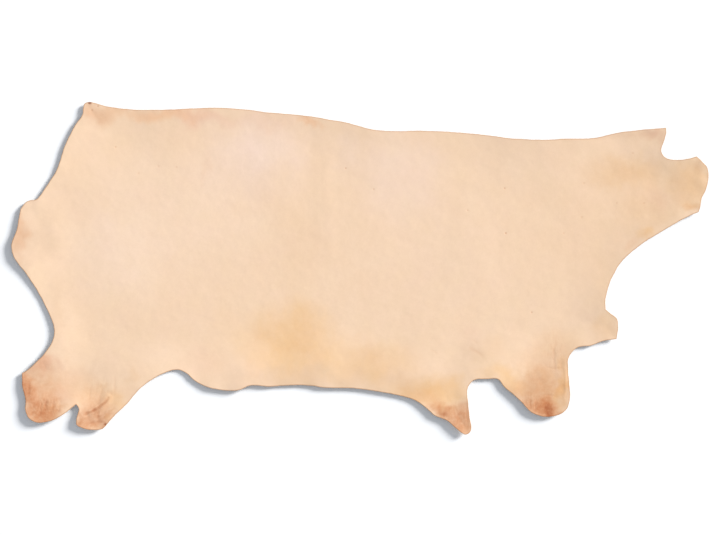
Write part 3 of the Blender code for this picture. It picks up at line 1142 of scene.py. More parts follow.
@dataclass
class NodeGroup:
    """A node group under way: its tree, its board and the two nodes at its ends."""

    name: str
    family: str
    takes: tuple[GroupSocket, ...]
    gives: tuple[GroupSocket, ...]

    def __post_init__(self) -> None:
        """Makes the tree with its named sockets."""
        self.tree = bpy.data.node_groups.new(self.name, self.family)
        self.identifiers = {}
        for socket in self.takes:
            made = self.tree.interface.new_socket(
                name=socket.name, in_out="INPUT", socket_type=socket.kind.value)
            self.identifiers[socket.name] = made.identifier
            if socket.value is not None:
                made.default_value = socket.value
        for socket in self.gives:
            self.tree.interface.new_socket(
                name=socket.name, in_out="OUTPUT", socket_type=socket.kind.value)
        self.board = NodeBoard(self.tree)
        self.start = self.board.add("NodeGroupInput")
        self.end = self.board.add("NodeGroupOutput")

    def input(self, name: str) -> bpy.types.NodeSocket:
        """The socket that an input comes in by."""
        return self.start.outputs[name]

    def put(self, name: str, value: bpy.types.NodeSocket) -> None:
        """Sends a value out by a named output."""
        self.board.feed(self.end.inputs[name], value)


class LeatherGroups:
    """The effects that more than one of the leather's finishes uses."""

    def __init__(self) -> None:
        """Builds every group once."""
        self.mottle = self.build_mottle()
        self.stain = self.build_stain()
        self.dye = self.build_dye()
        self.pores = self.build_pores()
        self.pleats = self.build_pleats()
        self.nap = self.build_nap()

    @staticmethod
    def build_mottle() -> bpy.types.NodeTree:
        """Clouds, blotches and specks that make a colour a little lighter and darker.

        Returns:
            The group's tree.
        """
        group = NodeGroup("leather_mottle", "ShaderNodeTree", (
            GroupSocket("Vector", Socket.VECTOR),
            GroupSocket("Clouds", Socket.FLOAT, 0.02),
            GroupSocket("Blotches", Socket.FLOAT, 0.02),
            GroupSocket("Freckles", Socket.FLOAT, 0.0),
            GroupSocket("Specks", Socket.FLOAT, 0.02),
        ), (GroupSocket("Density", Socket.FLOAT),))
        board = group.board
        total = None
        for name, scale, detail in (
            ("Clouds", 5.0, 2.0), ("Blotches", 42.0, 2.5), ("Freckles", 120.0, 2.0),
            ("Specks", 420.0, 3.0),
        ):
            wave = board.math("SUBTRACT", board.noise(group.input("Vector"), scale, detail), 0.5)
            wave = board.math("MULTIPLY", wave, group.input(name))
            total = wave if total is None else board.math("ADD", total, wave)
        group.put("Density", board.math("MULTIPLY", total, 2.0))
        return group.tree

    @staticmethod
    def build_stain() -> bpy.types.NodeTree:
        """One tone laid over the others, with its border and body broken up.

        Returns:
            The group's tree.
        """
        group = NodeGroup("leather_stain", "ShaderNodeTree", (
            GroupSocket("Vector", Socket.VECTOR),
            GroupSocket("Density", Socket.VECTOR),
            GroupSocket("Absorption", Socket.VECTOR),
            GroupSocket("Strength", Socket.FLOAT, 0.0),
            GroupSocket("Break Scale", Socket.FLOAT, 30.0),
            GroupSocket("Break", Socket.FLOAT, 0.3),
        ), (GroupSocket("Density", Socket.VECTOR),))
        board = group.board
        wave = board.noise(group.input("Vector"), group.input("Break Scale"), 4.0, 0.66)
        wave = board.math("MULTIPLY", board.math("SUBTRACT", wave, 0.5), 2.0)
        change = board.math("MULTIPLY_ADD", wave, group.input("Break"), 1.0)
        strength = board.math("MULTIPLY", group.input("Strength"), change)
        layer = board.vector("SCALE", group.input("Absorption"), strength)
        group.put("Density", board.vector("ADD", group.input("Density"), layer))
        return group.tree

    @staticmethod
    def build_dye() -> bpy.types.NodeTree:
        """The colour that is left of a base colour under a density of stain.

        Returns:
            The group's tree.
        """
        group = NodeGroup("leather_dye", "ShaderNodeTree", (
            GroupSocket("Base", Socket.COLOUR, (0.8, 0.6, 0.4, 1.0)),
            GroupSocket("Density", Socket.VECTOR),
            GroupSocket("Shade", Socket.FLOAT, 0.0),
        ), (GroupSocket("Colour", Socket.COLOUR),))
        board = group.board
        parts = board.add("ShaderNodeSeparateXYZ")
        board.feed(parts.inputs[0], group.input("Density"))
        whole = board.add("ShaderNodeCombineXYZ")
        for number in range(3):
            density = board.math("ADD", parts.outputs[number], group.input("Shade"))
            left = board.math("EXPONENT", board.math("MULTIPLY", density, -1.0))
            board.feed(whole.inputs[number], left)
        group.put("Colour", board.mix("MULTIPLY", 1.0, group.input("Base"), whole.outputs[0]))
        return group.tree

    @staticmethod
    def build_pores() -> bpy.types.NodeTree:
        """The pebbled cells and hair pores of the grain.

        Returns:
            The group's tree.
        """
        group = NodeGroup("leather_pores", "ShaderNodeTree", (
            GroupSocket("Vector", Socket.VECTOR),
            GroupSocket("Cell Scale", Socket.FLOAT, 650.0),
            GroupSocket("Pore Scale", Socket.FLOAT, 430.0),
        ), (GroupSocket("Height", Socket.FLOAT), GroupSocket("Pores", Socket.FLOAT)))
        board = group.board
        cells = board.cells(group.input("Vector"), group.input("Cell Scale"), "DISTANCE_TO_EDGE")
        cells = board.span(cells, 0.0, 0.35, 0.0, 1.0)
        pores = board.cells(group.input("Vector"), group.input("Pore Scale"), "F1")
        pores = board.span(pores, 0.08, 0.30, 1.0, 0.0)
        fine_scale = board.math("MULTIPLY", group.input("Cell Scale"), 3.0)
        fine = board.noise(group.input("Vector"), fine_scale, 2.0)
        height = board.math("MULTIPLY_ADD", fine, 0.35, board.math("MULTIPLY", cells, 0.6))
        group.put("Height", board.math("MULTIPLY_ADD", pores, -0.8, height))
        group.put("Pores", pores)
        return group.tree

    @staticmethod
    def build_pleats() -> bpy.types.NodeTree:
        """Fine creases side by side, no two of them alike.

        Returns:
            The group's tree.
        """
        group = NodeGroup("leather_pleats", "ShaderNodeTree", (
            GroupSocket("Course", Socket.VECTOR),
            GroupSocket("Seed", Socket.FLOAT, 4.0),
        ), (GroupSocket("Height", Socket.FLOAT), GroupSocket("Lines", Socket.FLOAT)))
        board = group.board
        parts = board.add("ShaderNodeSeparateXYZ")
        board.feed(parts.inputs[0], group.input("Course"))
        lane = board.add("ShaderNodeCombineXYZ")
        board.feed(lane.inputs[0], parts.outputs[0])
        board.feed(lane.inputs[1], parts.outputs[1])
        board.feed(lane.inputs[2], group.input("Seed"))
        wave = board.noise(lane.outputs[0], 1.3, 2.5, 0.62)
        lines = board.span(wave, 0.34, 0.54, 1.0, 0.0)
        group.put("Lines", board.math("MULTIPLY", lines, parts.outputs[2]))
        group.put("Height", board.math("MULTIPLY", wave, parts.outputs[2]))
        return group.tree

    @staticmethod
    def build_nap() -> bpy.types.NodeTree:
        """Short matted fibres, longer one way than the other.

        Returns:
            The group's tree.
        """
        group = NodeGroup("leather_nap", "ShaderNodeTree", (
            GroupSocket("Vector", Socket.VECTOR),
            GroupSocket("Scale", Socket.FLOAT, 900.0),
            GroupSocket("Lie", Socket.VECTOR, (1.0, 0.35, 1.0)),
        ), (GroupSocket("Height", Socket.FLOAT), GroupSocket("Fibres", Socket.FLOAT)))
        board = group.board
        lying = board.vector("MULTIPLY", group.input("Vector"), group.input("Lie"))
        drift = board.noise(group.input("Vector"), 60.0, 2.0)
        lying = board.vector("ADD", lying, board.vector("SCALE", (0.004, 0.004, 0.004), drift))
        fine = board.noise(lying, group.input("Scale"), 4.0, 0.65)
        coarse = board.noise(lying, board.math("MULTIPLY", group.input("Scale"), 0.2), 3.0, 0.6)
        fibres = board.math("MULTIPLY_ADD", coarse, 0.5, board.math("MULTIPLY", fine, 0.6))
        group.put("Height", fibres)
        group.put("Fibres", board.span(fibres, 0.35, 0.75, 0.0, 1.0))
        return group.tree


def new_material(name: str) -> tuple[bpy.types.Material, NodeBoard, bpy.types.Node]:
    """Starts a material.

    Args:
        name: The material's name.

    Returns:
        The material, its board and its Principled shader.
    """
    material = bpy.data.materials.new(name)
    material.use_nodes = True
    board = NodeBoard(material.node_tree)
    return material, board, material.node_tree.nodes["Principled BSDF"]


@dataclass(frozen=True)
class Stain:
    """How a tone takes the light away for each unit of strength, and how it breaks up."""

    absorption: tuple[float, float, float]
    break_scale: float
    breaking: float


@dataclass(frozen=True)
class GrainFinish:
    """The grain side: smooth, undyed and silky, with the tones of the tannage, painted shading over
    the lifted rims and in the creases, and its own pores.
    """

    base: Colour = (0.859, 0.624, 0.436, 1.0)
    roughness: float = 0.68
    roughness_change: float = 0.08
    specular: float = 0.20
    clouds: float = 0.018
    blotches: float = 0.026
    freckles: float = 0.024
    specks: float = 0.020
    cell_scale: float = 650.0
    pore_scale: float = 430.0
    pore_depth: float = 0.00010
    pore_roughness: float = 0.05
    dapple_scale: float = 85.0
    dapple_depth: float = 0.00025
    pleat_depth: float = 0.0009
    rim_absorption: tuple[float, float, float] = (0.50, 0.78, 1.00)
    rim_width: float = 0.005
    stains: tuple[tuple[Tone, Stain], ...] = (
        (Tone.RUSSET, Stain((0.28, 0.69, 1.00), 60.0, 0.75)),
        (Tone.FAWN, Stain((0.28, 0.69, 1.00), 11.0, 0.25)),
        (Tone.HONEY, Stain((0.08, 0.38, 1.00), 24.0, 0.40)),
        (Tone.OLIVE, Stain((0.32, 0.58, 1.00), 30.0, 0.35)),
        (Tone.BLUSH, Stain((0.39, 1.00, 0.80), 30.0, 0.30)),
        (Tone.UMBER, Stain((0.60, 0.90, 1.00), 60.0, 0.45)),
        (Tone.PALE, Stain((-0.032, -0.060, -0.122), 12.0, 0.25)),
        (Tone.LILAC, Stain((0.0, -0.020, -0.110), 14.0, 0.25)),
        # Dust, and painted shading over the lifted rims: grey darkening, and lightening where the
        # strength is below nought
        (Tone.DUST_AND_PAINTED_SHADING, Stain((0.95, 1.00, 0.95), 12.0, 0.20)),
        # Painted shade in the creases, and the spots' own dark marks
        (Tone.CREASE, Stain((0.42, 0.75, 0.95), 240.0, 0.75)),
    )
    drifts: tuple[tuple[float, Stain], ...] = (
        (0.025, Stain((0.39, 1.00, 0.80), 7.0, 1.60)),
        (0.030, Stain((0.00, 0.10, 1.00), 10.0, 1.60)),
    )
    # Painted shade along the shanks' fine creases, on top of their bump
    painted_pleat_shade: Stain = Stain((0.36, 0.75, 0.95), 150.0, 0.60)
    painted_pleat_shade_strength: float = 0.28

    def make(self, groups: LeatherGroups) -> bpy.types.Material:
        """Makes the material.

        Args:
            groups: The shared effects.

        Returns:
            The grain side's material.
        """
        material, board, shader = new_material("veg_tan_grain")
        place = board.add("ShaderNodeTexCoord").outputs["Object"]
        rim = board.span(board.attribute("rim"), 0.0, self.rim_width, 1.0, 0.0)
        rim = board.math("MULTIPLY", rim, rim)
        density = board.vector("SCALE", self.rim_absorption, rim)
        pleats = board.group(groups.pleats, Course=board.attribute("pleats", "Vector"), Seed=4.0)
        layers = [(board.attribute(tone.attribute), stain) for tone, stain in self.stains]
        layers += self.drifts
        # The fine creases' lines darkened in colour: painted shade
        lines = board.math("MULTIPLY", pleats.outputs["Lines"], self.painted_pleat_shade_strength)
        layers.append((lines, self.painted_pleat_shade))
        for strength, stain in layers:
            layer = board.group(
                groups.stain, Vector=place, Density=density, Absorption=stain.absorption,
                Strength=strength, Break_Scale=stain.break_scale, Break=stain.breaking)
            density = layer.outputs["Density"]
        mottle = board.group(
            groups.mottle, Vector=place, Clouds=self.clouds, Blotches=self.blotches,
            Freckles=self.freckles, Specks=self.specks)
        dye = board.group(
            groups.dye, Base=self.base, Density=density, Shade=mottle.outputs["Density"])
        board.feed(shader.inputs["Base Color"], dye.outputs["Colour"])

        pores = board.group(
            groups.pores, Vector=place, Cell_Scale=self.cell_scale, Pore_Scale=self.pore_scale)
        spread = board.math("MULTIPLY", board.noise(place, 25.0, 3.0), self.roughness_change)
        rough = board.math("ADD", spread, self.roughness - 0.5 * self.roughness_change)
        rough = board.math("MULTIPLY_ADD", pores.outputs["Pores"], self.pore_roughness, rough)
        board.feed(shader.inputs["Roughness"], rough)
        shader.inputs["Specular IOR Level"].default_value = self.specular

        dapple = board.add("ShaderNodeBump")
        dapple.inputs["Distance"].default_value = self.dapple_depth
        dapple.inputs["Strength"].default_value = 0.6
        board.feed(dapple.inputs["Height"], board.noise(place, self.dapple_scale, 3.0))
        creased = board.add("ShaderNodeBump")
        creased.inputs["Distance"].default_value = self.pleat_depth
        board.feed(creased.inputs["Height"], pleats.outputs["Height"])
        board.feed(creased.inputs["Normal"], dapple.outputs["Normal"])
        fine = board.add("ShaderNodeBump")
        fine.inputs["Distance"].default_value = self.pore_depth
        fine.inputs["Strength"].default_value = 0.5
        board.feed(fine.inputs["Height"], pores.outputs["Height"])
        board.feed(fine.inputs["Normal"], creased.outputs["Normal"])
        board.feed(shader.inputs["Normal"], fine.outputs["Normal"])
        return material


@dataclass(frozen=True)
class FleshFinish:
    """The flesh side: paler and greyer, brushed to a short nap, with faint veins."""

    base: Colour = (0.62, 0.47, 0.34, 1.0)
    fibre: Colour = (0.80, 0.66, 0.50, 1.0)
    roughness: float = 0.92
    nap_depth: float = 0.0005
    vein_depth: float = 0.0006

    def make(self, groups: LeatherGroups) -> bpy.types.Material:
        """Makes the material.

        Args:
            groups: The shared effects.

        Returns:
            The flesh side's material.
        """
        material, board, shader = new_material("veg_tan_flesh")
        place = board.add("ShaderNodeTexCoord").outputs["Object"]
        nap = board.group(groups.nap, Vector=place, Scale=700.0, Lie=(1.0, 0.4, 1.0))
        warp = board.noise(place, 9.0, 3.0)
        bent = board.vector("ADD", place, board.vector("SCALE", (0.10, 0.10, 0.0), warp))
        veins = board.span(board.cells(bent, 6.0, "DISTANCE_TO_EDGE"), 0.0, 0.05, 1.0, 0.0)
        mottle = board.group(groups.mottle, Vector=place, Clouds=0.06, Blotches=0.06, Specks=0.05)
        colour = board.mix("MIX", nap.outputs["Fibres"], self.base, self.fibre)
        veined = board.math("MULTIPLY_ADD", veins, 0.12, mottle.outputs["Density"])
        dye = board.group(groups.dye, Base=colour, Density=(0.0, 0.0, 0.0), Shade=veined)
        board.feed(shader.inputs["Base Color"], dye.outputs["Colour"])
        shader.inputs["Roughness"].default_value = self.roughness
        shader.inputs["Specular IOR Level"].default_value = 0.2
        shader.inputs["Sheen Weight"].default_value = 0.15
        relief = board.add("ShaderNodeBump")
        relief.inputs["Distance"].default_value = self.vein_depth
        board.feed(relief.inputs["Height"], veins)
        brushed = board.add("ShaderNodeBump")
        brushed.inputs["Distance"].default_value = self.nap_depth
        board.feed(brushed.inputs["Height"], nap.outputs["Height"])
        board.feed(brushed.inputs["Normal"], relief.outputs["Normal"])
        board.feed(shader.inputs["Normal"], brushed.outputs["Normal"])
        return material


@dataclass(frozen=True)
class CutEdgeFinish:
    """The trimmed edge: a darker, firmer grain layer over a pale, fibrous middle."""

    grain_layer: Colour = (0.50, 0.32, 0.20, 1.0)
    middle: Colour = (0.74, 0.56, 0.40, 1.0)
    roughness: float = 0.85
    nap_depth: float = 0.0004

    def make(self, groups: LeatherGroups) -> bpy.types.Material:
        """Makes the material.

        Args:
            groups: The shared effects.

        Returns:
            The cut edge's material.
        """
        material, board, shader = new_material("veg_tan_cut_edge")
        place = board.add("ShaderNodeTexCoord").outputs["Object"]
        nap = board.group(groups.nap, Vector=place, Scale=1100.0, Lie=(1.0, 1.0, 2.2))
        mottle = board.group(groups.mottle, Vector=place, Clouds=0.05, Blotches=0.10, Specks=0.12)
        height = board.math("MULTIPLY_ADD", nap.outputs["Fibres"], 0.12, board.attribute("through"))
        layer = board.span(height, 0.72, 0.95, 0.0, 1.0)
        colour = board.mix("MIX", layer, self.middle, self.grain_layer)
        loose = board.math("MULTIPLY", nap.outputs["Fibres"], -0.15)
        shade = board.math("ADD", mottle.outputs["Density"], loose)
        dye = board.group(groups.dye, Base=colour, Density=(0.0, 0.0, 0.0), Shade=shade)
        board.feed(shader.inputs["Base Color"], dye.outputs["Colour"])
        board.feed(shader.inputs["Roughness"], board.span(layer, 0.0, 1.0, self.roughness, 0.6))
        shader.inputs["Specular IOR Level"].default_value = 0.3
        bump = board.add("ShaderNodeBump")
        bump.inputs["Distance"].default_value = self.nap_depth
        board.feed(bump.inputs["Height"], nap.outputs["Height"])
        board.feed(shader.inputs["Normal"], bump.outputs["Normal"])
        return material


@dataclass(frozen=True)
class FibreFinish:
    """The loose fibres: pale and soft."""

    dark: Colour = (0.62, 0.46, 0.32, 1.0)
    light: Colour = (0.82, 0.68, 0.52, 1.0)

    def make(self, groups: LeatherGroups) -> bpy.types.Material:
        """Makes the material.

        Args:
            groups: The shared effects.

        Returns:
            The fibres' material.
        """
        material, board, shader = new_material("veg_tan_fibre")
        place = board.add("ShaderNodeTexCoord").outputs["Object"]
        nap = board.group(groups.nap, Vector=place, Scale=500.0, Lie=(1.0, 1.0, 1.0))
        mottle = board.group(groups.mottle, Vector=place, Clouds=0.05, Blotches=0.10, Specks=0.15)
        colour = board.mix("MIX", nap.outputs["Fibres"], self.dark, self.light)
        dye = board.group(
            groups.dye, Base=colour, Density=(0.0, 0.0, 0.0), Shade=mottle.outputs["Density"])
        board.feed(shader.inputs["Base Color"], dye.outputs["Colour"])
        shader.inputs["Roughness"].default_value = 0.8
        shader.inputs["Specular IOR Level"].default_value = 0.2
        return material


@dataclass
class SideSheet:
    """The side itself: one sheet with a grain side, a flesh side and a trimmed edge."""

    cut_edge: CutEdge
    relief: Relief
    chart: ToneChart
    pitch: float = 0.0085
    flesh_pitch: float = 0.017
    flesh_fine_pitch: float = 0.009
    rings: tuple[tuple[float, int], ...] = ((0.0020, 1), (0.0050, 1), (0.0090, 2), (0.0150, 2))
    flesh_rings: tuple[tuple[float, int], ...] = ((0.0030, 1), (0.0090, 2))
    wrinkle_step: float = 0.0045
    wrinkle_rows: tuple[float, ...] = (-0.5, -0.25, 0.0, 0.25, 0.5)
    spot_pitch: float = 0.0018
    wall: tuple[tuple[float, float], ...] = (
        (-0.00070, 1.00), (-0.00020, 0.93), (0.00010, 0.76), (0.00020, 0.46),
        (0.00000, 0.17), (-0.00050, 0.00))
    fray: float = 0.00018

    def hexagons(self, low: np.ndarray, high: np.ndarray, pitch: float) -> np.ndarray:
        """Lays an even field of points.

        Args:
            low: The field's lowest corner.
            high: Its highest corner.
            pitch: The distance from each point to its neighbours.

        Returns:
            The points, one row each.
        """
        rows = []
        for number, across in enumerate(np.arange(low[1], high[1], pitch * math.sqrt(0.75))):
            along = np.arange(low[0] + 0.5 * pitch * (number % 2), high[0], pitch)
            rows.append(np.stack((along, np.full_like(along, across)), axis=1))
        return np.concatenate(rows)

    def disc(self, middle: np.ndarray, reach: float, pitch: float) -> np.ndarray:
        """Lays an even field of points in a circle."""
        field = self.hexagons(middle - reach, middle + reach, pitch)
        return field[np.linalg.norm(field - middle, axis=1) < reach]

    def wrinkle_points(self) -> np.ndarray:
        """Lays rows of points beside every wrinkle.

        Returns:
            The points, none of them nearly on another.
        """
        kept = np.empty((0, 2))
        for wrinkle in WRINKLES:
            length = float(np.linalg.norm(np.array(wrinkle.end) - np.array(wrinkle.start)))
            line = bend_line(wrinkle, 2 + round(length / self.wrinkle_step))
            run = np.gradient(line, axis=0)
            side = np.stack((-run[:, 1], run[:, 0]), axis=1) / np.linalg.norm(run, axis=1)[:, None]
            beside = [line + row * wrinkle.width * side for row in self.wrinkle_rows]
            kept = np.concatenate((kept, clear_of(np.concatenate(beside), kept, MILLIMETRE)))
        return kept

    def grain_points(self) -> np.ndarray:
        """Lays the mesh points of the grain side, finest first.

        Returns:
            The points inside the edge, one row each.
        """
        edge = self.cut_edge
        kept = np.concatenate([edge.ring(inset, every) for inset, every in self.rings])
        room = self.rings[-1][0]
        fine = [(self.wrinkle_points(), 0.0015)]
        for spot in SPOTS:
            middle = np.array((spot.along, spot.across))
            fine.append((self.disc(middle, 1.3 * spot.radius, self.spot_pitch), 0.0012))
        for area in FINE_AREAS:
            middle = np.array((area.along, area.across))
            fine.append((self.disc(middle, area.reach, area.pitch), 0.55 * area.pitch))
        low, high = edge.loop.min(axis=0), edge.loop.max(axis=0)
        fine.append((self.hexagons(low, high, self.pitch), 0.55 * self.pitch))
        for points, gap in fine:
            depth = edge.depth(points)
            points = points[depth > 0.002]
            kept = np.concatenate((kept, clear_of(points, kept, gap)))
        LOG.info("grain side: %d points, the last ring %.1f mm in", len(kept), room / MILLIMETRE)
        return kept

    def flesh_points(self) -> np.ndarray:
        """Lays the mesh points of the flesh side.

        Returns:
            The points inside the edge, one row each.
        """
        edge = self.cut_edge
        kept = np.concatenate([edge.ring(inset, every) for inset, every in self.flesh_rings])
        low, high = edge.loop.min(axis=0), edge.loop.max(axis=0)
        fine = self.flesh_fine_pitch
        discs = [
            self.disc(np.array((area.along, area.across)), area.reach, fine) for area in FINE_AREAS]
        for points, pitch in (
            (np.concatenate(discs), fine),
            (self.hexagons(low, high, self.flesh_pitch), self.flesh_pitch),
        ):
            points = points[edge.depth(points) > 0.5 * pitch]
            kept = np.concatenate((kept, clear_of(points, kept, 0.55 * pitch)))
        return kept

    def build(self, materials: dict[Side, bpy.types.Material]) -> bpy.types.Object:
        """Builds the sheet's mesh and dresses it.

        Args:
            materials: The finish of each face of the sheet.

        Returns:
            The sheet's object.
        """
        edge = self.cut_edge
        count = len(edge.loop)
        top_loop = edge.loop + self.wall[0][0] * edge.outward
        low_loop = edge.loop + self.wall[-1][0] * edge.outward
        top, top_faces = triangulate(top_loop, self.grain_points())
        low, low_faces = triangulate(low_loop, self.flesh_points())

        fray = np.stack([Waver(41 + level, 0.007).at(edge.loop) for level in range(len(self.wall))])
        walls = []
        for level, (offset, _) in enumerate(self.wall[1:-1], 1):
            walls.append(edge.loop + (offset + self.fray * fray[level])[:, None] * edge.outward)
        flat = np.concatenate((top, *walls, low))
        through = np.concatenate((
            np.ones(len(top)),
            *(np.full(count, share) for _, share in self.wall[1:-1]),
            np.zeros(len(low))))
        depth = np.clip(edge.depth(flat), 0.0, None)
        under = self.relief.underside(flat, depth)
        over = under + self.relief.thickness + self.relief.grain(flat)
        heights = under + through * (over - under)

        first_wall = len(top)
        first_low = first_wall + count * len(walls)
        loops = [np.arange(count)]
        loops += [first_wall + number * count + np.arange(count) for number in range(len(walls))]
        loops.append(first_low + np.arange(count))
        quads = []
        for upper, lower in zip(loops[:-1], loops[1:]):
            quads.append(np.stack((lower, np.roll(lower, -1), np.roll(upper, -1), upper), axis=1))
        quads = np.concatenate(quads)
        under_faces = (low_faces + first_low)[:, ::-1]

        mesh = bpy.data.meshes.new("side_leather")
        vertices = np.column_stack((flat, heights))
        all_faces = top_faces.tolist() + under_faces.tolist() + quads.tolist()
        mesh.from_pydata(vertices.tolist(), [], all_faces)
        kinds = np.concatenate((
            np.full(len(top_faces), Side.GRAIN.value), np.full(len(under_faces), Side.FLESH.value),
            np.full(len(quads), Side.EDGE.value))).astype(np.int32)
        mesh.polygons.foreach_set("material_index", kinds)
        mesh.polygons.foreach_set("use_smooth", np.ones(len(kinds), dtype=bool))
        self.write(mesh, "rim", np.clip(depth, 0.0, 0.05))
        self.write(mesh, "through", through)
        for tone, strength in self.chart.strengths(flat).items():
            self.write(mesh, tone.attribute, strength)
        layer = mesh.attributes.new("pleats", "FLOAT_VECTOR", "POINT")
        layer.data.foreach_set("vector", self.chart.pleats(flat).astype(np.float32).ravel())
        for side in Side:
            mesh.materials.append(materials[side])
        mesh.validate()
        mesh.update()
        sheet = bpy.data.objects.new("side_leather", mesh)
        bpy.context.scene.collection.objects.link(sheet)
        LOG.info("side_leather: %d triangles", len(top_faces) + len(under_faces) + 2 * len(quads))
        return sheet

    @staticmethod
    def write(mesh: bpy.types.Mesh, name: str, values: np.ndarray) -> None:
        """Writes one number a vertex as a mesh attribute."""
        layer = mesh.attributes.new(name, "FLOAT", "POINT")
        layer.data.foreach_set("value", values.astype(np.float32))


@dataclass
class EdgeFibres:
    """The loose fibres that stand out of the cut edge, most of them at the belly and shanks."""

    cut_edge: CutEdge
    relief: Relief
    length: float = 0.0026
    thickness: float = 0.05
    sides: int = 3
    bends: int = 3
    density: float = 0.42
    seed: int = 7
    every: float = 0.002

    def tree(self) -> NodeGroup:
        """Builds the Geometry Nodes tree that plants a bent fibre on some of the points.

        Returns:
            The tree with its named inputs.
        """
        group = NodeGroup("edge_fibre_planter", "GeometryNodeTree", (
            GroupSocket("Geometry", Socket.GEOMETRY),
            GroupSocket("Length", Socket.FLOAT, self.length),
            GroupSocket("Thickness", Socket.FLOAT, self.thickness),
            GroupSocket("Sides", Socket.INTEGER, self.sides),
            GroupSocket("Bends", Socket.INTEGER, self.bends),
            GroupSocket("Density", Socket.FLOAT, self.density),
            GroupSocket("Seed", Socket.INTEGER, self.seed),
            GroupSocket("Finish", Socket.MATERIAL),
        ), (GroupSocket("Geometry", Socket.GEOMETRY),))
        board = group.board

        curve = board.add("GeometryNodeCurveQuadraticBezier")
        board.feed(curve.inputs["Resolution"], group.input("Bends"))
        curve.inputs["Start"].default_value = (0.0, 0.0, -0.15)
        curve.inputs["Middle"].default_value = (0.0, 0.05, 0.55)
        curve.inputs["End"].default_value = (0.35, 0.20, 1.0)
        ring = board.add("GeometryNodeCurvePrimitiveCircle", mode="RADIUS")
        board.feed(ring.inputs["Resolution"], group.input("Sides"))
        board.feed(ring.inputs["Radius"], group.input("Thickness"))
        along = board.add("GeometryNodeSplineParameter").outputs["Factor"]
        fibre = board.add("GeometryNodeCurveToMesh")
        board.feed(fibre.inputs["Curve"], curve.outputs["Curve"])
        board.feed(fibre.inputs["Profile Curve"], ring.outputs["Curve"])
        board.feed(fibre.inputs["Scale"], board.math("MULTIPLY_ADD", along, -0.75, 1.0))
        fibre.inputs["Fill Caps"].default_value = True

        shag = board.add("GeometryNodeInputNamedAttribute", data_type="FLOAT")
        shag.inputs["Name"].default_value = "shag"
        outward = board.add("GeometryNodeInputNamedAttribute", data_type="FLOAT_VECTOR")
        outward.inputs["Name"].default_value = "outward"
        chosen = board.add("FunctionNodeRandomValue", data_type="BOOLEAN")
        chance = board.math("MULTIPLY", shag.outputs["Attribute"], group.input("Density"))
        board.feed(chosen.inputs["Probability"], chance)
        board.feed(chosen.inputs["Seed"], group.input("Seed"))
        points = board.add("GeometryNodeMeshToPoints", mode="VERTICES")
        board.feed(points.inputs["Mesh"], group.input("Geometry"))
        board.feed(points.inputs["Selection"], chosen.outputs[3])

        level = self.random(group, 1, (0.0, 0.0, -0.0010), (0.0, 0.0, 0.0007))
        shifted = board.add("GeometryNodeSetPosition")
        board.feed(shifted.inputs["Geometry"], points.outputs["Points"])
        board.feed(shifted.inputs["Offset"], level)
        tilt = self.random(group, 2, (-0.9, -0.9, -0.9), (0.9, 0.9, 0.45))
        aim = board.add("FunctionNodeAlignRotationToVector", axis="Z")
        board.feed(aim.inputs["Vector"], board.vector("ADD", outward.outputs["Attribute"], tilt))
        size = board.add("FunctionNodeRandomValue", data_type="FLOAT")
        size.inputs[2].default_value = 0.45
        size.inputs[3].default_value = 1.5
        board.feed(size.inputs["Seed"], board.math("ADD", group.input("Seed"), 3.0))
        scale = board.math("MULTIPLY", size.outputs[1], group.input("Length"))
        planted = board.add("GeometryNodeInstanceOnPoints")
        board.feed(planted.inputs["Points"], shifted.outputs["Geometry"])
        board.feed(planted.inputs["Instance"], fibre.outputs["Mesh"])
        board.feed(planted.inputs["Rotation"], aim.outputs["Rotation"])
        board.feed(planted.inputs["Scale"], scale)
        real = board.add("GeometryNodeRealizeInstances")
        board.feed(real.inputs["Geometry"], planted.outputs["Instances"])
        dressed = board.add("GeometryNodeSetMaterial")
        board.feed(dressed.inputs["Geometry"], real.outputs["Geometry"])
        board.feed(dressed.inputs["Material"], group.input("Finish"))
        group.put("Geometry", dressed.outputs["Geometry"])
        return group

    @staticmethod
    def random(
        group: NodeGroup, shift: int, low: tuple[float, float, float], high: tuple[float, float, float]
    ) -> bpy.types.NodeSocket:
        """Draws a random vector for each point.

        Args:
            group: The tree under way.
            shift: What is added to the tree's seed for this draw.
            low: The least of each number.
            high: The most of each number.

        Returns:
            The vector's socket.
        """
        board = group.board
        draw = board.add("FunctionNodeRandomValue", data_type="FLOAT_VECTOR")
        draw.inputs[0].default_value = low
        draw.inputs[1].default_value = high
        board.feed(draw.inputs["Seed"], board.math("ADD", group.input("Seed"), float(shift)))
        return draw.outputs[0]

    def host(self) -> bpy.types.Object:
        """Lays the points that a fibre may grow from, halfway up the cut edge.

        Returns:
            The object that holds them.
        """
        edge = self.cut_edge
        places = edge.dense
        outward = edge.dense_outward
        under = self.relief.underside(places, np.zeros(len(places)))
        mesh = bpy.data.meshes.new("edge_fibres")
        heights = under + 0.45 * self.relief.thickness
        mesh.from_pydata(np.column_stack((places, heights)).tolist(), [], [])
        loose = np.zeros(len(places))
        for lift in LIFTS:
            away = np.linalg.norm(places - np.array((lift.along, lift.across)), axis=1)
            loose += lift.rise * fade(away / lift.reach)
        SideSheet.write(mesh, "shag", np.clip(0.25 + loose / 0.009, 0.0, 1.0))
        layer = mesh.attributes.new("outward", "FLOAT_VECTOR", "POINT")
        out = np.column_stack((outward, np.zeros(len(outward)))).astype(np.float32)
        layer.data.foreach_set("vector", out.ravel())
        host = bpy.data.objects.new("edge_fibres", mesh)
        bpy.context.scene.collection.objects.link(host)
        return host

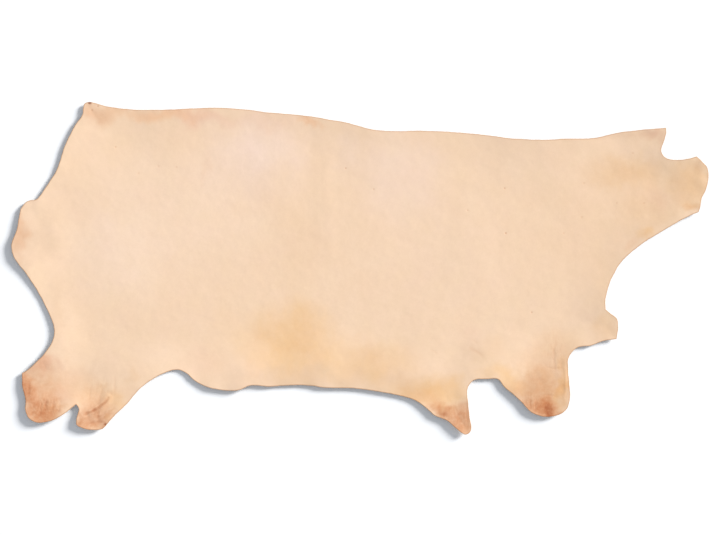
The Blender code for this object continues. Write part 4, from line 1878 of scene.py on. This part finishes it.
    def build(self, finish: bpy.types.Material) -> bpy.types.Object:
        """Grows the fibres and turns them into a plain mesh.

        Args:
            finish: The fibres' material.

        Returns:
            The fibres' object.
        """
        host = self.host()
        group = self.tree()
        grower = host.modifiers.new("fibres", "NODES")
        grower.node_group = group.tree
        for name, value in (
            ("Length", self.length), ("Thickness", self.thickness), ("Sides", self.sides),
            ("Bends", self.bends), ("Density", self.density), ("Seed", self.seed), ("Finish", finish),
        ):
            grower[group.identifiers[name]] = value
        grown = host.evaluated_get(bpy.context.evaluated_depsgraph_get())
        mesh = bpy.data.meshes.new_from_object(grown)
        mesh.name = "edge_fibres"
        host.modifiers.clear()
        bare = host.data
        host.data = mesh
        bpy.data.meshes.remove(bare)
        mesh.polygons.foreach_set("use_smooth", np.ones(len(mesh.polygons), dtype=bool))
        LOG.info("edge_fibres: %d faces", len(mesh.polygons))
        return host


@dataclass
class Studio:
    """A plain pale floor, soft light from the upper right, and the camera over the middle."""

    floor_reach: float = 100.0
    floor_colour: Colour = (0.95, 0.95, 0.95, 1.0)
    sky_colour: Colour = (0.435, 0.46, 0.50, 1.0)
    backdrop_colour: Colour = (1.0, 1.0, 1.0, 1.0)
    sun_azimuth: float = 29.0
    sun_elevation: float = 22.0
    sun_strength: float = 5.42
    sun_spread: float = 17.0
    camera_place: tuple[float, float, float] = (-0.0119, 0.0030, 6.0)
    camera_lens: float = 86.55
    camera_sensor: float = 36.0

    def build_floor(self) -> bpy.types.Object:
        """Lays the floor.

        Returns:
            The floor's object.
        """
        reach = self.floor_reach
        mesh = bpy.data.meshes.new("studio_floor")
        corners = [
            (-reach, -reach, 0.0), (reach, -reach, 0.0), (reach, reach, 0.0), (-reach, reach, 0.0)]
        mesh.from_pydata(corners, [], [(0, 1, 2, 3)])
        material, _, shader = new_material("studio_floor")
        shader.inputs["Base Color"].default_value = self.floor_colour
        shader.inputs["Roughness"].default_value = 1.0
        shader.inputs["Specular IOR Level"].default_value = 0.0
        mesh.materials.append(material)
        floor = bpy.data.objects.new("studio_floor", mesh)
        bpy.context.scene.collection.objects.link(floor)
        return floor

    def light(self) -> None:
        """Sets the soft sky and the sun."""
        world = bpy.data.worlds.new("studio")
        world.use_nodes = True
        board = NodeBoard(world.node_tree)
        sky = world.node_tree.nodes["Background"]
        sky.inputs["Color"].default_value = self.sky_colour
        backdrop = board.add("ShaderNodeBackground")
        backdrop.inputs["Color"].default_value = self.backdrop_colour
        ray = board.add("ShaderNodeLightPath")
        blend = board.add("ShaderNodeMixShader")
        board.feed(blend.inputs[0], ray.outputs["Is Camera Ray"])
        board.feed(blend.inputs[1], sky.outputs[0])
        board.feed(blend.inputs[2], backdrop.outputs[0])
        board.feed(world.node_tree.nodes["World Output"].inputs["Surface"], blend.outputs[0])
        bpy.context.scene.world = world

        lamp = bpy.data.lights.new("sun", "SUN")
        lamp.energy = self.sun_strength
        lamp.angle = math.radians(self.sun_spread)
        sun = bpy.data.objects.new("sun", lamp)
        azimuth = math.radians(self.sun_azimuth)
        elevation = math.radians(self.sun_elevation)
        towards = Vector((
            math.cos(elevation) * math.cos(azimuth), math.cos(elevation) * math.sin(azimuth),
            math.sin(elevation)))
        sun.location = 4.0 * towards
        sun.rotation_euler = towards.to_track_quat("Z", "Y").to_euler()
        bpy.context.scene.collection.objects.link(sun)

    def aim_camera(self) -> None:
        """Hangs the camera straight above the side."""
        lens = bpy.data.cameras.new("camera")
        lens.sensor_width = self.camera_sensor
        lens.lens = self.camera_lens
        lens.clip_end = 500.0
        camera = bpy.data.objects.new("camera", lens)
        camera.location = self.camera_place
        bpy.context.scene.collection.objects.link(camera)
        bpy.context.scene.camera = camera
        bpy.context.scene.view_settings.view_transform = "Standard"

    def build(self) -> None:
        """Builds the floor, the light and the camera."""
        self.build_floor()
        self.light()
        self.aim_camera()
        LOG.info("studio: floor, light and camera")


def main() -> None:
    """Builds the side, its fibres and the studio, and says what rides, replaces and lies where."""
    logging.basicConfig(level=logging.INFO, format="%(name)s %(message)s")
    Studio().build()
    groups = LeatherGroups()
    materials = {
        Side.GRAIN: GrainFinish().make(groups),
        Side.FLESH: FleshFinish().make(groups),
        Side.EDGE: CutEdgeFinish().make(groups),
    }
    cut_edge = CutEdge()
    relief = Relief()
    sheet = SideSheet(cut_edge, relief, ToneChart()).build(materials)
    fibres = EdgeFibres(cut_edge, relief).build(FibreFinish().make(groups))

    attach(sheet, BODY)
    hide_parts(NODE)
    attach(fibres, BODY)


if __name__ == "__main__":
    main()
